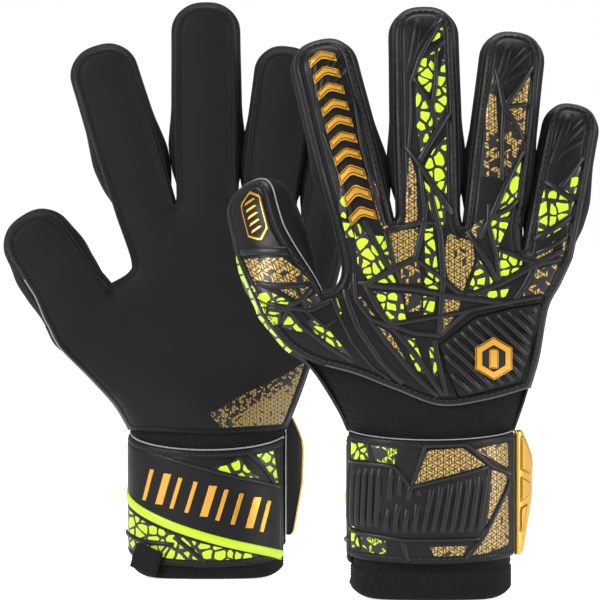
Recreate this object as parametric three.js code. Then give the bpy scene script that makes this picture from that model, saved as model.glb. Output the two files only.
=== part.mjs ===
// A pair of goalkeeper gloves, each standing open on its cuff with the fingers up and the two palms facing each other.
//
// Units are millimetres and degrees, +Z is up. Each glove is made in its own frame: X runs across the hand with the
// thumb at -X, Z runs from the cuff's rim to the fingertips, and the palm faces -Y. The right glove is the mirror image
// in Y, so its palm faces +Y. A finger, a thumb, a strap flap, a pull tab and a pull loop each turn about their own line.
import * as THREE from "three";

// ---------------------------------------------------------------- driving dimensions
const GAP = 0.35; // clearance between pieces that touch
const FOAM = 5; // thickness of the latex palm and of the foam backhand
const GUSSET = 2; // thickness of the stretch side walls
const FLANGE = 3; // how far the foam edges stand out past the side walls
const PALM_BOTTOM = 88.5; // height at which the hand begins, above the wrist bandage
const HALF_DEPTH_WRIST = 19; // half the hand's thickness at PALM_BOTTOM
const HALF_DEPTH_KNUCKLE = 13.5; // half the hand's thickness at KNUCKLE_HEIGHT
const KNUCKLE_HEIGHT = 178;
const SIDE_CLEARANCE = 0.6; // a finger is narrower than its seat on the palm by this, each side
const TIP_DEPTH = 21; // thickness of a finger at its tip
const STRIP_TRIM = 1.6; // a side wall stops this far short of the seams at its ends
const CURVE_STEPS = 6;

const LINING = { thickness: 1, scale: 0.76, middle: [1, 136] }; // the hand's outline, drawn in to a smaller copy
const CUFF = { halfWidth: 36, halfDepth: 22, wall: 2.5, height: 88 };
const STRAP_BASE = { from: -8, to: -196, inner: 0.3, thickness: 3, bottom: 8, top: 69 };
const STRAP_FLAP = { from: 162, to: 18, inner: 2.5, thickness: 2.5, bottom: 16, top: 74 };
const LOOP_PATCH = { from: 66, to: 22, inner: 0.3, thickness: 0.8, bottom: 22, top: 68 };
const HOOK_PATCH = { from: 66, to: 22, inner: 1.4, thickness: 0.8, bottom: 22, top: 68 };
const PULL_TAB = { width: 12, thickness: 3, bottom: 19, top: 76, waist: 9, turn: -30 };
const PULL_LOOP = { width: 14.5, length: 12.5, thickness: 3.2, lean: 20, angle: -132, top: 15 };
const EMBLEM = { halfWidth: 8.5, halfHeight: 11, thickness: 1.6, x: 29.5, z: 113 };

// Each finger: the middle of its seat on the hand, its lean from upright (positive towards the little finger), its
// length, half widths at the seat and half way up, how far it is curled towards the palm at rest, and how far it is
// rolled about its own length (positive turns its back away from the other fingers).
const LEFT = {
  side: "left",
  position: [-44.7, 90],
  mirror: 1,
  wristTop: [-48, 44.5],
  fingers: {
    thumb: { x: -60.5, z: 133.5, lean: -33, length: 49, half: 18.5, halfMid: 16, curl: 12, roll: 0 },
    index: { x: -30, z: 179.4, lean: -17, length: 80, half: 15, halfMid: 15.6, curl: 10, roll: 0 },
    middle: { x: 0, z: 184.5, lean: -0.5, length: 92.5, half: 15.2, halfMid: 15.7, curl: 9, roll: 0 },
    ring: { x: 29.6, z: 178, lean: 7, length: 78, half: 13.4, halfMid: 14, curl: 12, roll: 0 },
    pinky: { x: 55.8, z: 167.8, lean: 12.5, length: 58, half: 12.2, halfMid: 12.6, curl: 14, roll: 0 },
  },
  thumbEdge: [[-49, PALM_BOTTOM], [-58, 98], [-69.5, 112.6]],
  web: [[-38, 147.5], [-36.5, 154]],
  littleEdge: [[64, 150], [60, 135], [55.5, 120], [50, 104], [45, PALM_BOTTOM]],
};
const RIGHT = {
  side: "right",
  position: [60.2, -90],
  mirror: -1,
  wristTop: [-46, 43.5],
  fingers: {
    thumb: { x: -64, z: 135.5, lean: -20, length: 55, half: 15.5, halfMid: 14.5, curl: 14, roll: 28 },
    index: { x: -31, z: 172.6, lean: -14.2, length: 84.5, half: 14.2, halfMid: 14.8, curl: 10, roll: 0 },
    middle: { x: -1.5, z: 176, lean: -1.2, length: 94, half: 14.9, halfMid: 15.2, curl: 9, roll: 0 },
    ring: { x: 28, z: 170, lean: 7, length: 89, half: 13.8, halfMid: 14.1, curl: 10, roll: 0 },
    pinky: { x: 54, z: 158, lean: 11.5, length: 68, half: 12.2, halfMid: 12.7, curl: 12, roll: 0 },
  },
  thumbEdge: [[-46, PALM_BOTTOM], [-55, 104], [-67, 117]],
  web: [[-43, 143], [-40.5, 152]],
  littleEdge: [[60, 144], [54.5, 133], [50, 111], [45, PALM_BOTTOM]],
};

// ---------------------------------------------------------------- materials
const finish = (color, roughness, metalness = 0) =>
  new THREE.MeshStandardMaterial({ color, roughness, metalness });
const LATEX = finish(0x242426, 0.6);
const EMBOSSED_FOAM = finish(0x2c2c2f, 0.5);
const STRETCH_FABRIC = finish(0x151516, 0.9);
const KNIT_ELASTIC = finish(0x29292b, 0.95);
const STRAP_RUBBER = finish(0x1f1f22, 0.5);
const HOOK_AND_LOOP = finish(0x101012, 1);
const GOLD_RUBBER = finish(0xe0a93a, 0.35, 0.3);
const FLEECE = finish(0x3a3a3e, 1);

// ---------------------------------------------------------------- helpers
const radians = THREE.MathUtils.degToRad;
const halfDepth = (z) =>
  THREE.MathUtils.mapLinear(z, PALM_BOTTOM, KNUCKLE_HEIGHT, HALF_DEPTH_WRIST, HALF_DEPTH_KNUCKLE);

// Moves every vertex of a geometry to where place(point) puts it.
function reshape(geometry, place) {
  const position = geometry.getAttribute("position");
  const point = new THREE.Vector3();
  for (let i = 0; i < position.count; i++) {
    place(point.fromBufferAttribute(position, i));
    position.setXYZ(i, point.x, point.y, point.z);
  }
  return geometry;
}

// A sheet cut to an outline in the X-Z plane. front(z) and back(z) give its two faces as Y at a height.
function sheet(outline, front, back) {
  const points = outline.map(([x, z]) => new THREE.Vector2(x, z));
  const geometry = new THREE.ExtrudeGeometry(new THREE.Shape(points), { depth: 1, bevelEnabled: false });
  geometry.rotateX(Math.PI / 2); // the outline now stands in X-Z, with the extrusion along -Y
  return reshape(geometry, (p) => {
    p.y = p.y < -0.5 ? front(p.z) : back(p.z);
  });
}

// One edge of a finger from its seat to the middle of its tip, drawn inset from the outside, on the +X side.
function fingerEdge(finger, inset) {
  const seat = finger.half - SIDE_CLEARANCE - inset;
  const middle = finger.halfMid - SIDE_CLEARANCE - inset;
  const tip = finger.length - inset;
  const shoulder = finger.length - finger.halfMid * 1.05;
  const edge = new THREE.Path();
  edge.moveTo(seat, GAP);
  edge.quadraticCurveTo(seat, finger.length * 0.12, middle, finger.length * 0.3);
  edge.lineTo(middle * 0.97, shoulder);
  edge.bezierCurveTo(middle * 0.95, tip - middle * 0.28, middle * 0.6, tip, 0, tip);
  return edge.getPoints(CURVE_STEPS).map((p) => [p.x, p.y]);
}

// A whole finger's outline, up the -X side and down the +X side.
function fingerOutline(finger, inset) {
  const right = fingerEdge(finger, inset);
  const left = right.slice(0, -1).map(([x, z]) => [-x, z]);
  return [...left, ...right.reverse()];
}

// The same polyline moved sideways by a distance, to the left of its direction of travel.
function offset(line, distance) {
  return line.map((point, i) => {
    const before = line[Math.max(i - 1, 0)];
    const after = line[Math.min(i + 1, line.length - 1)];
    const along = new THREE.Vector2(after[0] - before[0], after[1] - before[1]).normalize();
    return [point[0] - along.y * distance, point[1] + along.x * distance];
  });
}

// Where a finger's seat ends, at -X and at +X.
function seat(finger) {
  const lean = radians(finger.lean);
  const across = [Math.cos(lean) * finger.half, -Math.sin(lean) * finger.half];
  return [
    [finger.x - across[0], finger.z - across[1]],
    [finger.x + across[0], finger.z + across[1]],
  ];
}

// The hand's outline without its fingers, clockwise from the wrist at the thumb's side.
function handOutline(glove) {
  const { thumb, index, middle, ring, pinky } = glove.fingers;
  return [
    ...glove.thumbEdge,
    ...seat(thumb),
    ...glove.web,
    ...seat(index),
    ...seat(middle),
    ...seat(ring),
    ...seat(pinky),
    ...glove.littleEdge,
  ];
}

// A closed strip that follows a line, from one distance beside it to another, and stops short of both its ends.
function strip(line, near, far) {
  const short = (end, next) => {
    const length = Math.hypot(next[0] - end[0], next[1] - end[1]);
    return end.map((value, axis) => THREE.MathUtils.lerp(value, next[axis], STRIP_TRIM / length));
  };
  const trimmed = [short(line[0], line[1]), ...line.slice(1, -1), short(line.at(-1), line.at(-2))];
  return [...offset(trimmed, near), ...offset(trimmed, far).reverse()];
}

// A point on the cuff's oval, a distance outside the bandage. Angle 0 is the little finger's side, -90 the palm.
function onCuff(angle, out) {
  const a = radians(angle);
  return new THREE.Vector2((CUFF.halfWidth + out) * Math.cos(a), (CUFF.halfDepth + out) * Math.sin(a));
}

// A band bent round the cuff between two angles.
function cuffBand(band, steps) {
  const points = [];
  for (let i = 0; i <= steps; i++)
    points.push(onCuff(THREE.MathUtils.lerp(band.from, band.to, i / steps), band.inner));
  for (let i = steps; i >= 0; i--)
    points.push(onCuff(THREE.MathUtils.lerp(band.from, band.to, i / steps), band.inner + band.thickness));
  const geometry = new THREE.ExtrudeGeometry(new THREE.Shape(points), {
    depth: band.top - band.bottom,
    bevelEnabled: false,
  });
  return geometry.translate(0, 0, band.bottom);
}

// ---------------------------------------------------------------- pieces in a finger's own frame
// X across, Z along the finger, and Y from the palm's surface at 0 into the finger.
function fingerPieces(finger) {
  const base = 2 * halfDepth(finger.z);
  const palmFace = (z) => (1.5 * z) / finger.length;
  const backFace = (z) => THREE.MathUtils.lerp(base, TIP_DEPTH + 1.5, z / finger.length);
  const outer = fingerOutline(finger, FLANGE);
  const inner = fingerOutline(finger, FLANGE + GUSSET);
  return {
    palm: sheet(fingerOutline(finger, 0), palmFace, (z) => palmFace(z) + FOAM),
    back: sheet(fingerOutline(finger, 0), (z) => backFace(z) - FOAM, backFace),
    gusset: sheet(
      [...outer, ...inner.reverse()],
      (z) => palmFace(z) + FOAM + GAP,
      (z) => backFace(z) - FOAM - GAP,
    ),
  };
}

// ---------------------------------------------------------------- pieces in the glove's frame
function palm(outline) {
  return sheet(outline, (z) => -halfDepth(z), (z) => FOAM - halfDepth(z));
}

function backhand(outline) {
  return sheet(outline, (z) => halfDepth(z) - FOAM, (z) => halfDepth(z));
}

// A side wall between palm and backhand, set in from the hand's edge, which it has on its left.
function sideWall(line) {
  const inside = (z) => halfDepth(z) - FOAM - GAP;
  return sheet(strip(line, -FLANGE, -FLANGE - GUSSET), (z) => -inside(z), inside);
}

// A lining lies on the inner face of the palm (sign -1) or of the backhand (sign 1).
function lining(outline, sign) {
  const [middleX, middleZ] = LINING.middle;
  const drawnIn = outline.map(([x, z]) => [
    THREE.MathUtils.lerp(middleX, x, LINING.scale),
    THREE.MathUtils.lerp(middleZ, z, LINING.scale),
  ]);
  const near = (z) => sign * (halfDepth(z) - FOAM - GAP - LINING.thickness);
  const far = (z) => sign * (halfDepth(z) - FOAM - GAP);
  return sign < 0 ? sheet(drawnIn, far, near) : sheet(drawnIn, near, far);
}

// The elastic bandage: an oval sleeve that flares from the wrist to the hand.
function wristBandage(glove) {
  const sleeve = new THREE.Shape();
  sleeve.absellipse(0, 0, CUFF.halfWidth, CUFF.halfDepth, 0, 2 * Math.PI);
  const hollow = new THREE.Path();
  hollow.absellipse(0, 0, CUFF.halfWidth - CUFF.wall, CUFF.halfDepth - CUFF.wall, 0, 2 * Math.PI);
  sleeve.holes.push(hollow);
  const geometry = new THREE.ExtrudeGeometry(sleeve, {
    depth: CUFF.height,
    steps: 7,
    curveSegments: 18,
    bevelEnabled: false,
  });
  const [left, right] = glove.wristTop;
  const flareFrom = 74;
  return reshape(geometry, (p) => {
    const flare = THREE.MathUtils.smoothstep(p.z, flareFrom, CUFF.height);
    const widen = THREE.MathUtils.lerp(1, (right - left) / 2 / CUFF.halfWidth, flare);
    p.x = p.x * widen + ((left + right) / 2) * flare;
    p.y *= THREE.MathUtils.lerp(1, HALF_DEPTH_WRIST / CUFF.halfDepth, flare);
  });
}

// The rubber wing at the strap's free end, widest near its top. Its frame's origin is the edge it turns on.
function pullTab() {
  const { width, thickness, bottom, top, waist } = PULL_TAB;
  const outline = [
    [0, bottom],
    [0, top],
    [waist * 0.45, top],
    [width, top - 16],
    [width, top - 26],
    [waist, top - 38],
    [waist * 0.55, bottom],
  ];
  return sheet(outline, () => -thickness, () => 0);
}

// Webbing folded in two and sewn flat, with its rounded fold at the bottom, hanging from the origin.
function pullLoop() {
  const { width, length, thickness } = PULL_LOOP;
  const t = thickness / 2;
  const section = new THREE.Shape();
  section.moveTo(-t, 0);
  section.lineTo(-t, t - length);
  section.absarc(0, t - length, t, Math.PI, 2 * Math.PI);
  section.lineTo(t, 0);
  const geometry = new THREE.ExtrudeGeometry(section, {
    depth: width,
    bevelEnabled: false,
    curveSegments: CURVE_STEPS,
  });
  // The section's X becomes Y and its Y becomes Z, so that the webbing's width runs along X.
  geometry.translate(0, 0, -width / 2);
  return reshape(geometry, (p) => p.set(p.z, p.x, p.y));
}

// A plain six-sided badge that lies on the backhand.
function emblem() {
  const { halfWidth, halfHeight, x, z, thickness } = EMBLEM;
  const corner = halfHeight * 0.5;
  const outline = [
    [x - halfWidth, z - corner],
    [x - halfWidth, z + corner],
    [x, z + halfHeight],
    [x + halfWidth, z + corner],
    [x + halfWidth, z - corner],
    [x, z - halfHeight],
  ];
  return sheet(outline, (h) => halfDepth(h) + GAP, (h) => halfDepth(h) + GAP + thickness);
}

// ---------------------------------------------------------------- assembly
function addMesh(group, name, geometry, material) {
  const mesh = new THREE.Mesh(geometry, material);
  mesh.name = name;
  group.add(mesh);
}

// A frame whose origin lies on a turning line, turned by Euler angles in degrees.
function frameAt(parent, x, y, z, turn) {
  const frame = new THREE.Group();
  frame.position.set(x, y, z);
  frame.rotation.set(radians(turn[0]), radians(turn[1]), radians(turn[2]), "YXZ");
  parent.add(frame);
  return frame;
}

function addFinger(group, side, name, finger) {
  const middle = halfDepth(finger.z);
  const roll = radians(finger.roll);
  // A rolled finger reaches lower than the hand's palm. It turns about a line at its own lowest edge.
  const lowest = middle * (1 - Math.cos(roll)) - finger.half * Math.sin(roll);
  const hinge = frameAt(group, finger.x, lowest - middle, finger.z, [finger.curl, finger.lean, 0]);
  const rolled = frameAt(hinge, 0, middle - lowest, 0, [0, 0, finger.roll]);
  const frame = frameAt(rolled, 0, -middle, 0, [0, 0, 0]);
  const pieces = fingerPieces(finger);
  addMesh(frame, `${side}_${name}_palm`, pieces.palm, LATEX);
  addMesh(frame, `${side}_${name}_back`, pieces.back, EMBOSSED_FOAM);
  addMesh(frame, `${side}_${name}_gusset`, pieces.gusset, STRETCH_FABRIC);
}

function addHand(group, glove) {
  const { side, fingers } = glove;
  const outline = handOutline(glove);
  const [thumbOuter, thumbInner] = seat(fingers.thumb);
  const indexOuter = seat(fingers.index)[0];
  const pinkyOuter = seat(fingers.pinky)[1];
  addMesh(group, `${side}_palm`, palm(outline), LATEX);
  addMesh(group, `${side}_backhand`, backhand(outline), EMBOSSED_FOAM);
  addMesh(group, `${side}_palm_lining`, lining(outline, -1), FLEECE);
  addMesh(group, `${side}_back_lining`, lining(outline, 1), FLEECE);
  addMesh(group, `${side}_thumb_side_gusset`, sideWall([...glove.thumbEdge, thumbOuter]), STRETCH_FABRIC);
  addMesh(group, `${side}_thumb_web`, sideWall([thumbInner, ...glove.web, indexOuter]), STRETCH_FABRIC);
  addMesh(group, `${side}_little_side_gusset`, sideWall([pinkyOuter, ...glove.littleEdge]), STRETCH_FABRIC);
  addMesh(group, `${side}_emblem`, emblem(), GOLD_RUBBER);
}

function addWrist(group, glove) {
  const { side } = glove;
  addMesh(group, `${side}_wrist_bandage`, wristBandage(glove), KNIT_ELASTIC);
  addMesh(group, `${side}_strap_base`, cuffBand(STRAP_BASE, 20), STRAP_RUBBER);
  addMesh(group, `${side}_strap_flap`, cuffBand(STRAP_FLAP, 16), STRAP_RUBBER);
  addMesh(group, `${side}_loop_patch`, cuffBand(LOOP_PATCH, 6), HOOK_AND_LOOP);
  addMesh(group, `${side}_hook_patch`, cuffBand(HOOK_PATCH, 6), HOOK_AND_LOOP);

  const flapEnd = onCuff(STRAP_FLAP.to, STRAP_FLAP.inner + STRAP_FLAP.thickness);
  const tabFrame = frameAt(group, flapEnd.x + GAP, flapEnd.y, 0, [0, 0, PULL_TAB.turn]);
  addMesh(tabFrame, `${side}_pull_tab`, pullTab(), GOLD_RUBBER);

  // The webbing lies flat against the strap, whose direction there is found from two points beside it.
  const loopOut = STRAP_BASE.inner + STRAP_BASE.thickness + GAP + PULL_LOOP.thickness / 2;
  const root = onCuff(PULL_LOOP.angle, loopOut);
  const along = onCuff(PULL_LOOP.angle + 5, loopOut).sub(onCuff(PULL_LOOP.angle - 5, loopOut));
  const turn = THREE.MathUtils.radToDeg(along.angle());
  const rootFrame = frameAt(group, root.x, root.y, PULL_LOOP.top, [0, 0, turn]);
  const loopFrame = frameAt(rootFrame, 0, 0, 0, [0, PULL_LOOP.lean, 0]);
  addMesh(loopFrame, `${side}_pull_loop`, pullLoop(), STRAP_RUBBER);
}

const pair = new THREE.Group();
for (const glove of [LEFT, RIGHT]) {
  const group = new THREE.Group();
  group.position.set(glove.position[0], glove.position[1], 0);
  group.scale.y = glove.mirror;
  for (const [name, finger] of Object.entries(glove.fingers)) addFinger(group, glove.side, name, finger);
  addHand(group, glove);
  addWrist(group, glove);
  pair.add(group);
}

// The pair stands on the origin's plane, with the middle of its bounding box over the origin.
const box = new THREE.Box3().setFromObject(pair, true);
const centre = box.getCenter(new THREE.Vector3());
pair.position.set(-centre.x, -centre.y, -box.min.z);

export default pair;
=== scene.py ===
"""A pair of goalkeeper gloves: black latex and foam with lime and gold print, standing fingers up.

Each glove is made in its own frame, in millimetres: X runs across the hand with the thumb at -X, Z from the
cuff to the fingertips, and the palm faces -Y. The right glove is the mirror image in Y. Every panel is cut to
a flat plan in X-Z and then draped over the hand.
"""

import math

import bpy
import numpy as np
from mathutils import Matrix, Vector
from mathutils.geometry import delaunay_2d_cdt


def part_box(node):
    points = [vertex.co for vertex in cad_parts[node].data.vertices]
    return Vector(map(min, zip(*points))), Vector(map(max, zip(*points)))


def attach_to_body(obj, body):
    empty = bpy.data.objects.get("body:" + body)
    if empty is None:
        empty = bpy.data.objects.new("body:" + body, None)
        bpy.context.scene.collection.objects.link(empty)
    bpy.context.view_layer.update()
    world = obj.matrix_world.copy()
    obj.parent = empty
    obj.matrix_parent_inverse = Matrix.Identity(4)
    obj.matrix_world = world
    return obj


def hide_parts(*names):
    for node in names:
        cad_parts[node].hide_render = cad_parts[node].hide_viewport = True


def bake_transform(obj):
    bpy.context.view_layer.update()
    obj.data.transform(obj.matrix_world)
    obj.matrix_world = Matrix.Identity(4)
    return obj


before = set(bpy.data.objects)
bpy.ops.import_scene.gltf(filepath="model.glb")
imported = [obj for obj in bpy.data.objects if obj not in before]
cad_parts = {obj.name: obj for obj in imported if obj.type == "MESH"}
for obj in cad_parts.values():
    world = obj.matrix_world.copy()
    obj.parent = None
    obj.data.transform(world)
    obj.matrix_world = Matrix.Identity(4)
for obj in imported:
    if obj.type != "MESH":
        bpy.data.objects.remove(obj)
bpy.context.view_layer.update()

# ---------------------------------------------------------------- driving dimensions, in mm and degrees
PALM_BOTTOM = 88.5
HALF_DEPTH_WRIST = 19.0
HALF_DEPTH_KNUCKLE = 13.5
KNUCKLE_HEIGHT = 178.0
TIP_DEPTH = 22.5
CUFF_HALF_WIDTH = 36.0
CUFF_HALF_DEPTH = 22.0
EDGE_RADIUS = 1.7
BORDER = 3.5  # width of the plain strip along the backhand's edges
PALM_SEAM = 2.4  # distance of the palm's seam from its edge
CURL_LENGTH = 26.0  # a finger's rest curl is spread over this length from its seat
BEND_LENGTH = 34.0  # and the length from a finger's seat to its joint
WRIST_TO_HAND = (74, 112)  # between these heights the hand's section turns from an oval to flat
TIP_ROUNDING = 17.0  # a finger thins over this length before its tip
BACK_TIP_DROP = 4.5
PALM_TIP_DROP = 2.0
PALM_TAPER = 1.5
FAR_WITHIN = 9.0  # the plan's third value is the depth within a printed window, where there is one
WALL_INSET = 3.4  # the side walls' seams lie this deep under the panels' crowned surfaces
WALL_ROWS = 11
PANEL_NARROWING = 0.7  # a visible panel is narrower than the foam block it stands for, each side
GUSSET_BULGE = 2.2

FINGERS = ("thumb", "index", "middle", "ring", "pinky")


class Finger:
    """A finger's seat on the hand, its lean from upright, its size, and its curl and roll at rest."""

    def __init__(self, x, z, lean, length, half, half_mid, curl, roll=0.0):
        self.seat = np.array((x, z))
        angle = math.radians(lean)
        self.across = np.array((math.cos(angle), -math.sin(angle)))
        self.along = np.array((math.sin(angle), math.cos(angle)))
        self.length = length
        self.half = half - PANEL_NARROWING
        self.half_mid = half_mid - PANEL_NARROWING
        self.curl = math.radians(curl)
        self.roll = math.radians(roll)

    def local(self, points):
        away = points - self.seat
        return away @ self.across, away @ self.along

    def plan(self, across, along):
        return self.seat + np.outer(across, self.across) + np.outer(along, self.along)

    def depth(self, across, along, facing):
        """How far its back (facing 1) or palm side (facing -1) is from its middle, before it is curled."""
        seat = half_depth(self.plan(across, 0 * across)[:, 1])
        share = along / self.length
        tip = np.clip((along - self.length) / TIP_ROUNDING + 1, 0, 1) ** 2
        if facing > 0:
            return mix(seat, TIP_DEPTH - seat, share) - BACK_TIP_DROP * tip
        return seat - PALM_TAPER * share - PALM_TIP_DROP * tip


class Glove:
    """One glove's fingers, the edges of its hand, and its place in the pair."""

    def __init__(self, side, mirror, strap_rise, fingers, thumb_edge, web, little_edge):
        self.side = side
        self.strap_rise = strap_rise
        self.mirror = mirror
        self.fingers = fingers
        self.thumb_edge = thumb_edge
        self.web = web
        self.little_edge = little_edge
        low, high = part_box(f"{side}_strap_base")
        cuff_low, cuff_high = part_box(f"{side}_wrist_bandage")
        self.origin = np.array(((low.x + high.x) / 2, (cuff_low.y + cuff_high.y) / 2, 0.0))

    def world(self, points):
        """Points of the glove's frame, in the frame of the whole pair, in metres."""
        return self.origin + points * np.array((1, self.mirror, 1)) / 1000


LEFT = Glove(
    "left",
    1,
    -1.0,
    {
        "thumb": Finger(-62, 132.2, -33, 49, 18.5, 16, 12),
        "index": Finger(-30, 179.4, -17, 80, 15, 15.6, 10),
        "middle": Finger(0, 184.5, -0.5, 92.5, 15.2, 15.7, 9),
        "ring": Finger(29.6, 178, 7, 78, 13.4, 14, 12),
        "pinky": Finger(55.8, 167.8, 12.5, 58, 12.2, 12.6, 14),
    },
    thumb_edge=[(-38, 71.5), (-45.5, 84), (-58, 98), (-71, 111.5)],
    web=[(-38, 147.5), (-36.5, 154)],
    little_edge=[(64, 150), (60, 135), (55, 120), (50, 104), (44.5, 88), (38, 71.5)],
)
RIGHT = Glove(
    "right",
    -1,
    4.0,
    {
        "thumb": Finger(-64, 135.5, -20, 55, 15.5, 14.5, 14, roll=28),
        "index": Finger(-31, 172.6, -14.2, 84.5, 14.2, 14.8, 10),
        "middle": Finger(-1.5, 176, -1.2, 94, 14.9, 15.2, 9),
        "ring": Finger(28, 170, 7, 89, 13.8, 14.1, 10),
        "pinky": Finger(53, 158, 11.3, 68, 12.0, 12.2, 12),
    },
    thumb_edge=[(-38, 76.5), (-43, 87), (-54, 104), (-67, 117)],
    web=[(-43, 143), (-40.5, 152)],
    little_edge=[(58.6, 144), (53, 133), (49, 111), (43.5, 92), (38, 76.5)],
)


# ---------------------------------------------------------------- numbers
def mix(a, b, t):
    return a + (b - a) * t


def smoothstep(start, end, value):
    t = np.clip((value - start) / (end - start), 0, 1)
    return t * t * (3 - 2 * t)


def half_depth(z):
    """Half the thickness of the hand's middle at a height."""
    return mix(HALF_DEPTH_WRIST, HALF_DEPTH_KNUCKLE, (z - PALM_BOTTOM) / (KNUCKLE_HEIGHT - PALM_BOTTOM))


def unit(vectors):
    return vectors / np.maximum(np.linalg.norm(vectors, axis=1), 1e-9)[:, None]


def right_of(steps):
    """Unit vectors to the right of the steps of a plan line."""
    return unit(np.column_stack((steps[:, 1], -steps[:, 0])))


def closed(polygon):
    return np.vstack((polygon, polygon[:1]))


def resample(line, spacing):
    """The same polyline with evenly spaced points, both its ends kept."""
    line = np.asarray(line, float)
    steps = np.hypot(*np.diff(line, axis=0).T)
    run = np.concatenate(([0], np.cumsum(steps)))
    count = max(int(round(run[-1] / spacing)), 1)
    wanted = np.linspace(0, run[-1], count + 1)
    return np.column_stack([np.interp(wanted, run, line[:, axis]) for axis in range(line.shape[1])])


def curve_through(points, spacing):
    """A Catmull-Rom curve through the points, evenly sampled."""
    p = np.asarray(points, float)
    p = np.vstack((2 * p[0] - p[1], p, 2 * p[-1] - p[-2]))
    t = np.linspace(0, 1, 12)[:, None]
    out = []
    for a, b, c, d in zip(p, p[1:], p[2:], p[3:]):
        second = 2 * a - 5 * b + 4 * c - d
        third = 3 * b - a - 3 * c + d
        out.append(0.5 * (2 * b + (c - a) * t + second * t**2 + third * t**3))
    return resample(np.vstack(out), spacing)


def inside(points, polygon):
    """For each point, whether it is in the polygon."""
    polygon = np.asarray(polygon, float)
    x, z = points[:, 0, None], points[:, 1, None]
    ax, az = polygon[:, 0], polygon[:, 1]
    bx, bz = np.roll(ax, -1), np.roll(az, -1)
    crosses = (az > z) != (bz > z)
    with np.errstate(divide="ignore", invalid="ignore"):
        at = (bx - ax) * (z - az) / (bz - az) + ax
    return (crosses & (x < at)).sum(1) % 2 == 1


def distance_to(points, starts, ends):
    """Each point's distance from the nearest of the segments."""
    along = ends - starts
    length = np.maximum(np.hypot(*along.T), 1e-9)
    unit = along / length[:, None]
    side = unit[:, ::-1] * (-1, 1)
    best = []
    for first in range(0, len(points), 1000):
        chunk = points[first : first + 1000]
        run = chunk @ unit.T - (starts * unit).sum(1)
        off = chunk @ side.T - (starts * side).sum(1)
        beyond = run - np.clip(run, 0, length)
        best.append(np.sqrt((beyond**2 + off**2).min(1)))
    return np.concatenate(best) if best else np.zeros(0)


# ---------------------------------------------------------------- the plan of a glove
def finger_outline(finger):
    """From the seat's -X end round the tip to its +X end, with a squared-off round tip."""
    half, middle = finger.half, finger.half_mid
    shoulder = finger.length - middle * 1.05
    rise = np.linspace(0, shoulder, 30)
    width = mix(half, middle, smoothstep(0, finger.length * 0.35, rise))
    width *= mix(1.0, 0.97, smoothstep(finger.length * 0.4, shoulder, rise))
    side = np.column_stack((width, rise))
    turn = np.linspace(0, math.pi / 2, 16)[1:]
    power = 2 / 2.5
    cap = np.column_stack(
        (width[-1] * np.cos(turn) ** power, shoulder + middle * 1.05 * np.sin(turn) ** power)
    )
    right = np.vstack((side, cap))
    left = right[:-1] * (-1, 1)
    local = np.vstack((left, right[::-1]))
    return resample(finger.plan(local[:, 0], local[:, 1]), 1.3)


def crotch(left_finger, right_finger):
    """The notch between two fingers, from the left one's seat to the right one's."""
    a = left_finger.plan([left_finger.half], [0])[0]
    b = right_finger.plan([-right_finger.half], [0])[0]
    low = (a + b) / 2 + (0, -5.5)
    t = np.linspace(0, 1, 7)[:, None]
    return (1 - t) ** 2 * a + 2 * t * (1 - t) * low + t**2 * b


def seat_ends(finger):
    return finger.plan([-finger.half, finger.half], [0, 0])


def free_edges(glove, bottom_left, bottom_right):
    """The glove's outline as named runs of points, from the wrist up the thumb's side, and down the other."""
    f = glove.fingers
    runs = [("hand", curve_through([*bottom_left, seat_ends(f["thumb"])[0]], 1.3))]
    runs.append(("thumb", finger_outline(f["thumb"])))
    web = [seat_ends(f["thumb"])[1], *glove.web, seat_ends(f["index"])[0]]
    runs.append(("hand", curve_through(web, 1.3)))
    for name, following in zip(FINGERS[1:], [*FINGERS[2:], None]):
        runs.append((name, finger_outline(f[name])))
        if following:
            runs.append(("hand", crotch(f[name], f[following])))
    runs.append(("hand", curve_through([seat_ends(f["pinky"])[1], *bottom_right], 1.3)))
    return runs


# ---------------------------------------------------------------- surfaces that panels are draped over
def rounding(distance, radius):
    """How far a rounded edge falls below the flat, at a distance from the outline."""
    missing = np.clip(radius - distance, 0, radius)
    return radius - np.sqrt(np.maximum(radius**2 - missing**2, 0))


def seam_groove(distance, seam):
    """A sewn groove's section, 1 deep at the seam."""
    return np.exp(-(((distance - seam) / 0.5) ** 2))


class Surface:
    """Takes points of a flat plan to the glove's frame."""

    thickness = 4.0  # from the plan's own level down to the panel's inner face

    def __init__(self, outline):
        self.outline = outline
        self.starts = outline
        self.ends = np.roll(outline, -1, axis=0)

    def edge_distance(self, points):
        """How far each point lies from the outline, and below 0 just outside of it."""
        out = distance_to(points, self.starts, self.ends)
        near = out < 0.4
        out[near] *= np.where(inside(points[near], self.outline), 1, -1)
        return out

    def inward(self):
        """The direction into the panel at each point of the outline."""
        return right_of(np.roll(self.outline, -1, axis=0) - np.roll(self.outline, 1, axis=0))

    def rim_directions(self):
        """At each point of the outline, the way out of the panel and the way up from it."""
        within = self.outline + self.inward() * 0.6
        level = np.zeros(len(within))
        out = self.shape(self.outline, level) - self.shape(within, level)
        return unit(out), self.normal(within)

    def region(self, points):
        return np.full(len(points), "all")

    def at(self, points, height=0.0):
        points = np.asarray(points, float)
        return self.shape(points, self.profile(self.edge_distance(points)) + height)

    def normal(self, points):
        step = 0.25
        here = self.at(points)
        across = self.at(points + (step, 0)) - here
        up = self.at(points + (0, step)) - here
        return unit(np.cross(up, across)) * self.facing


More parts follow.
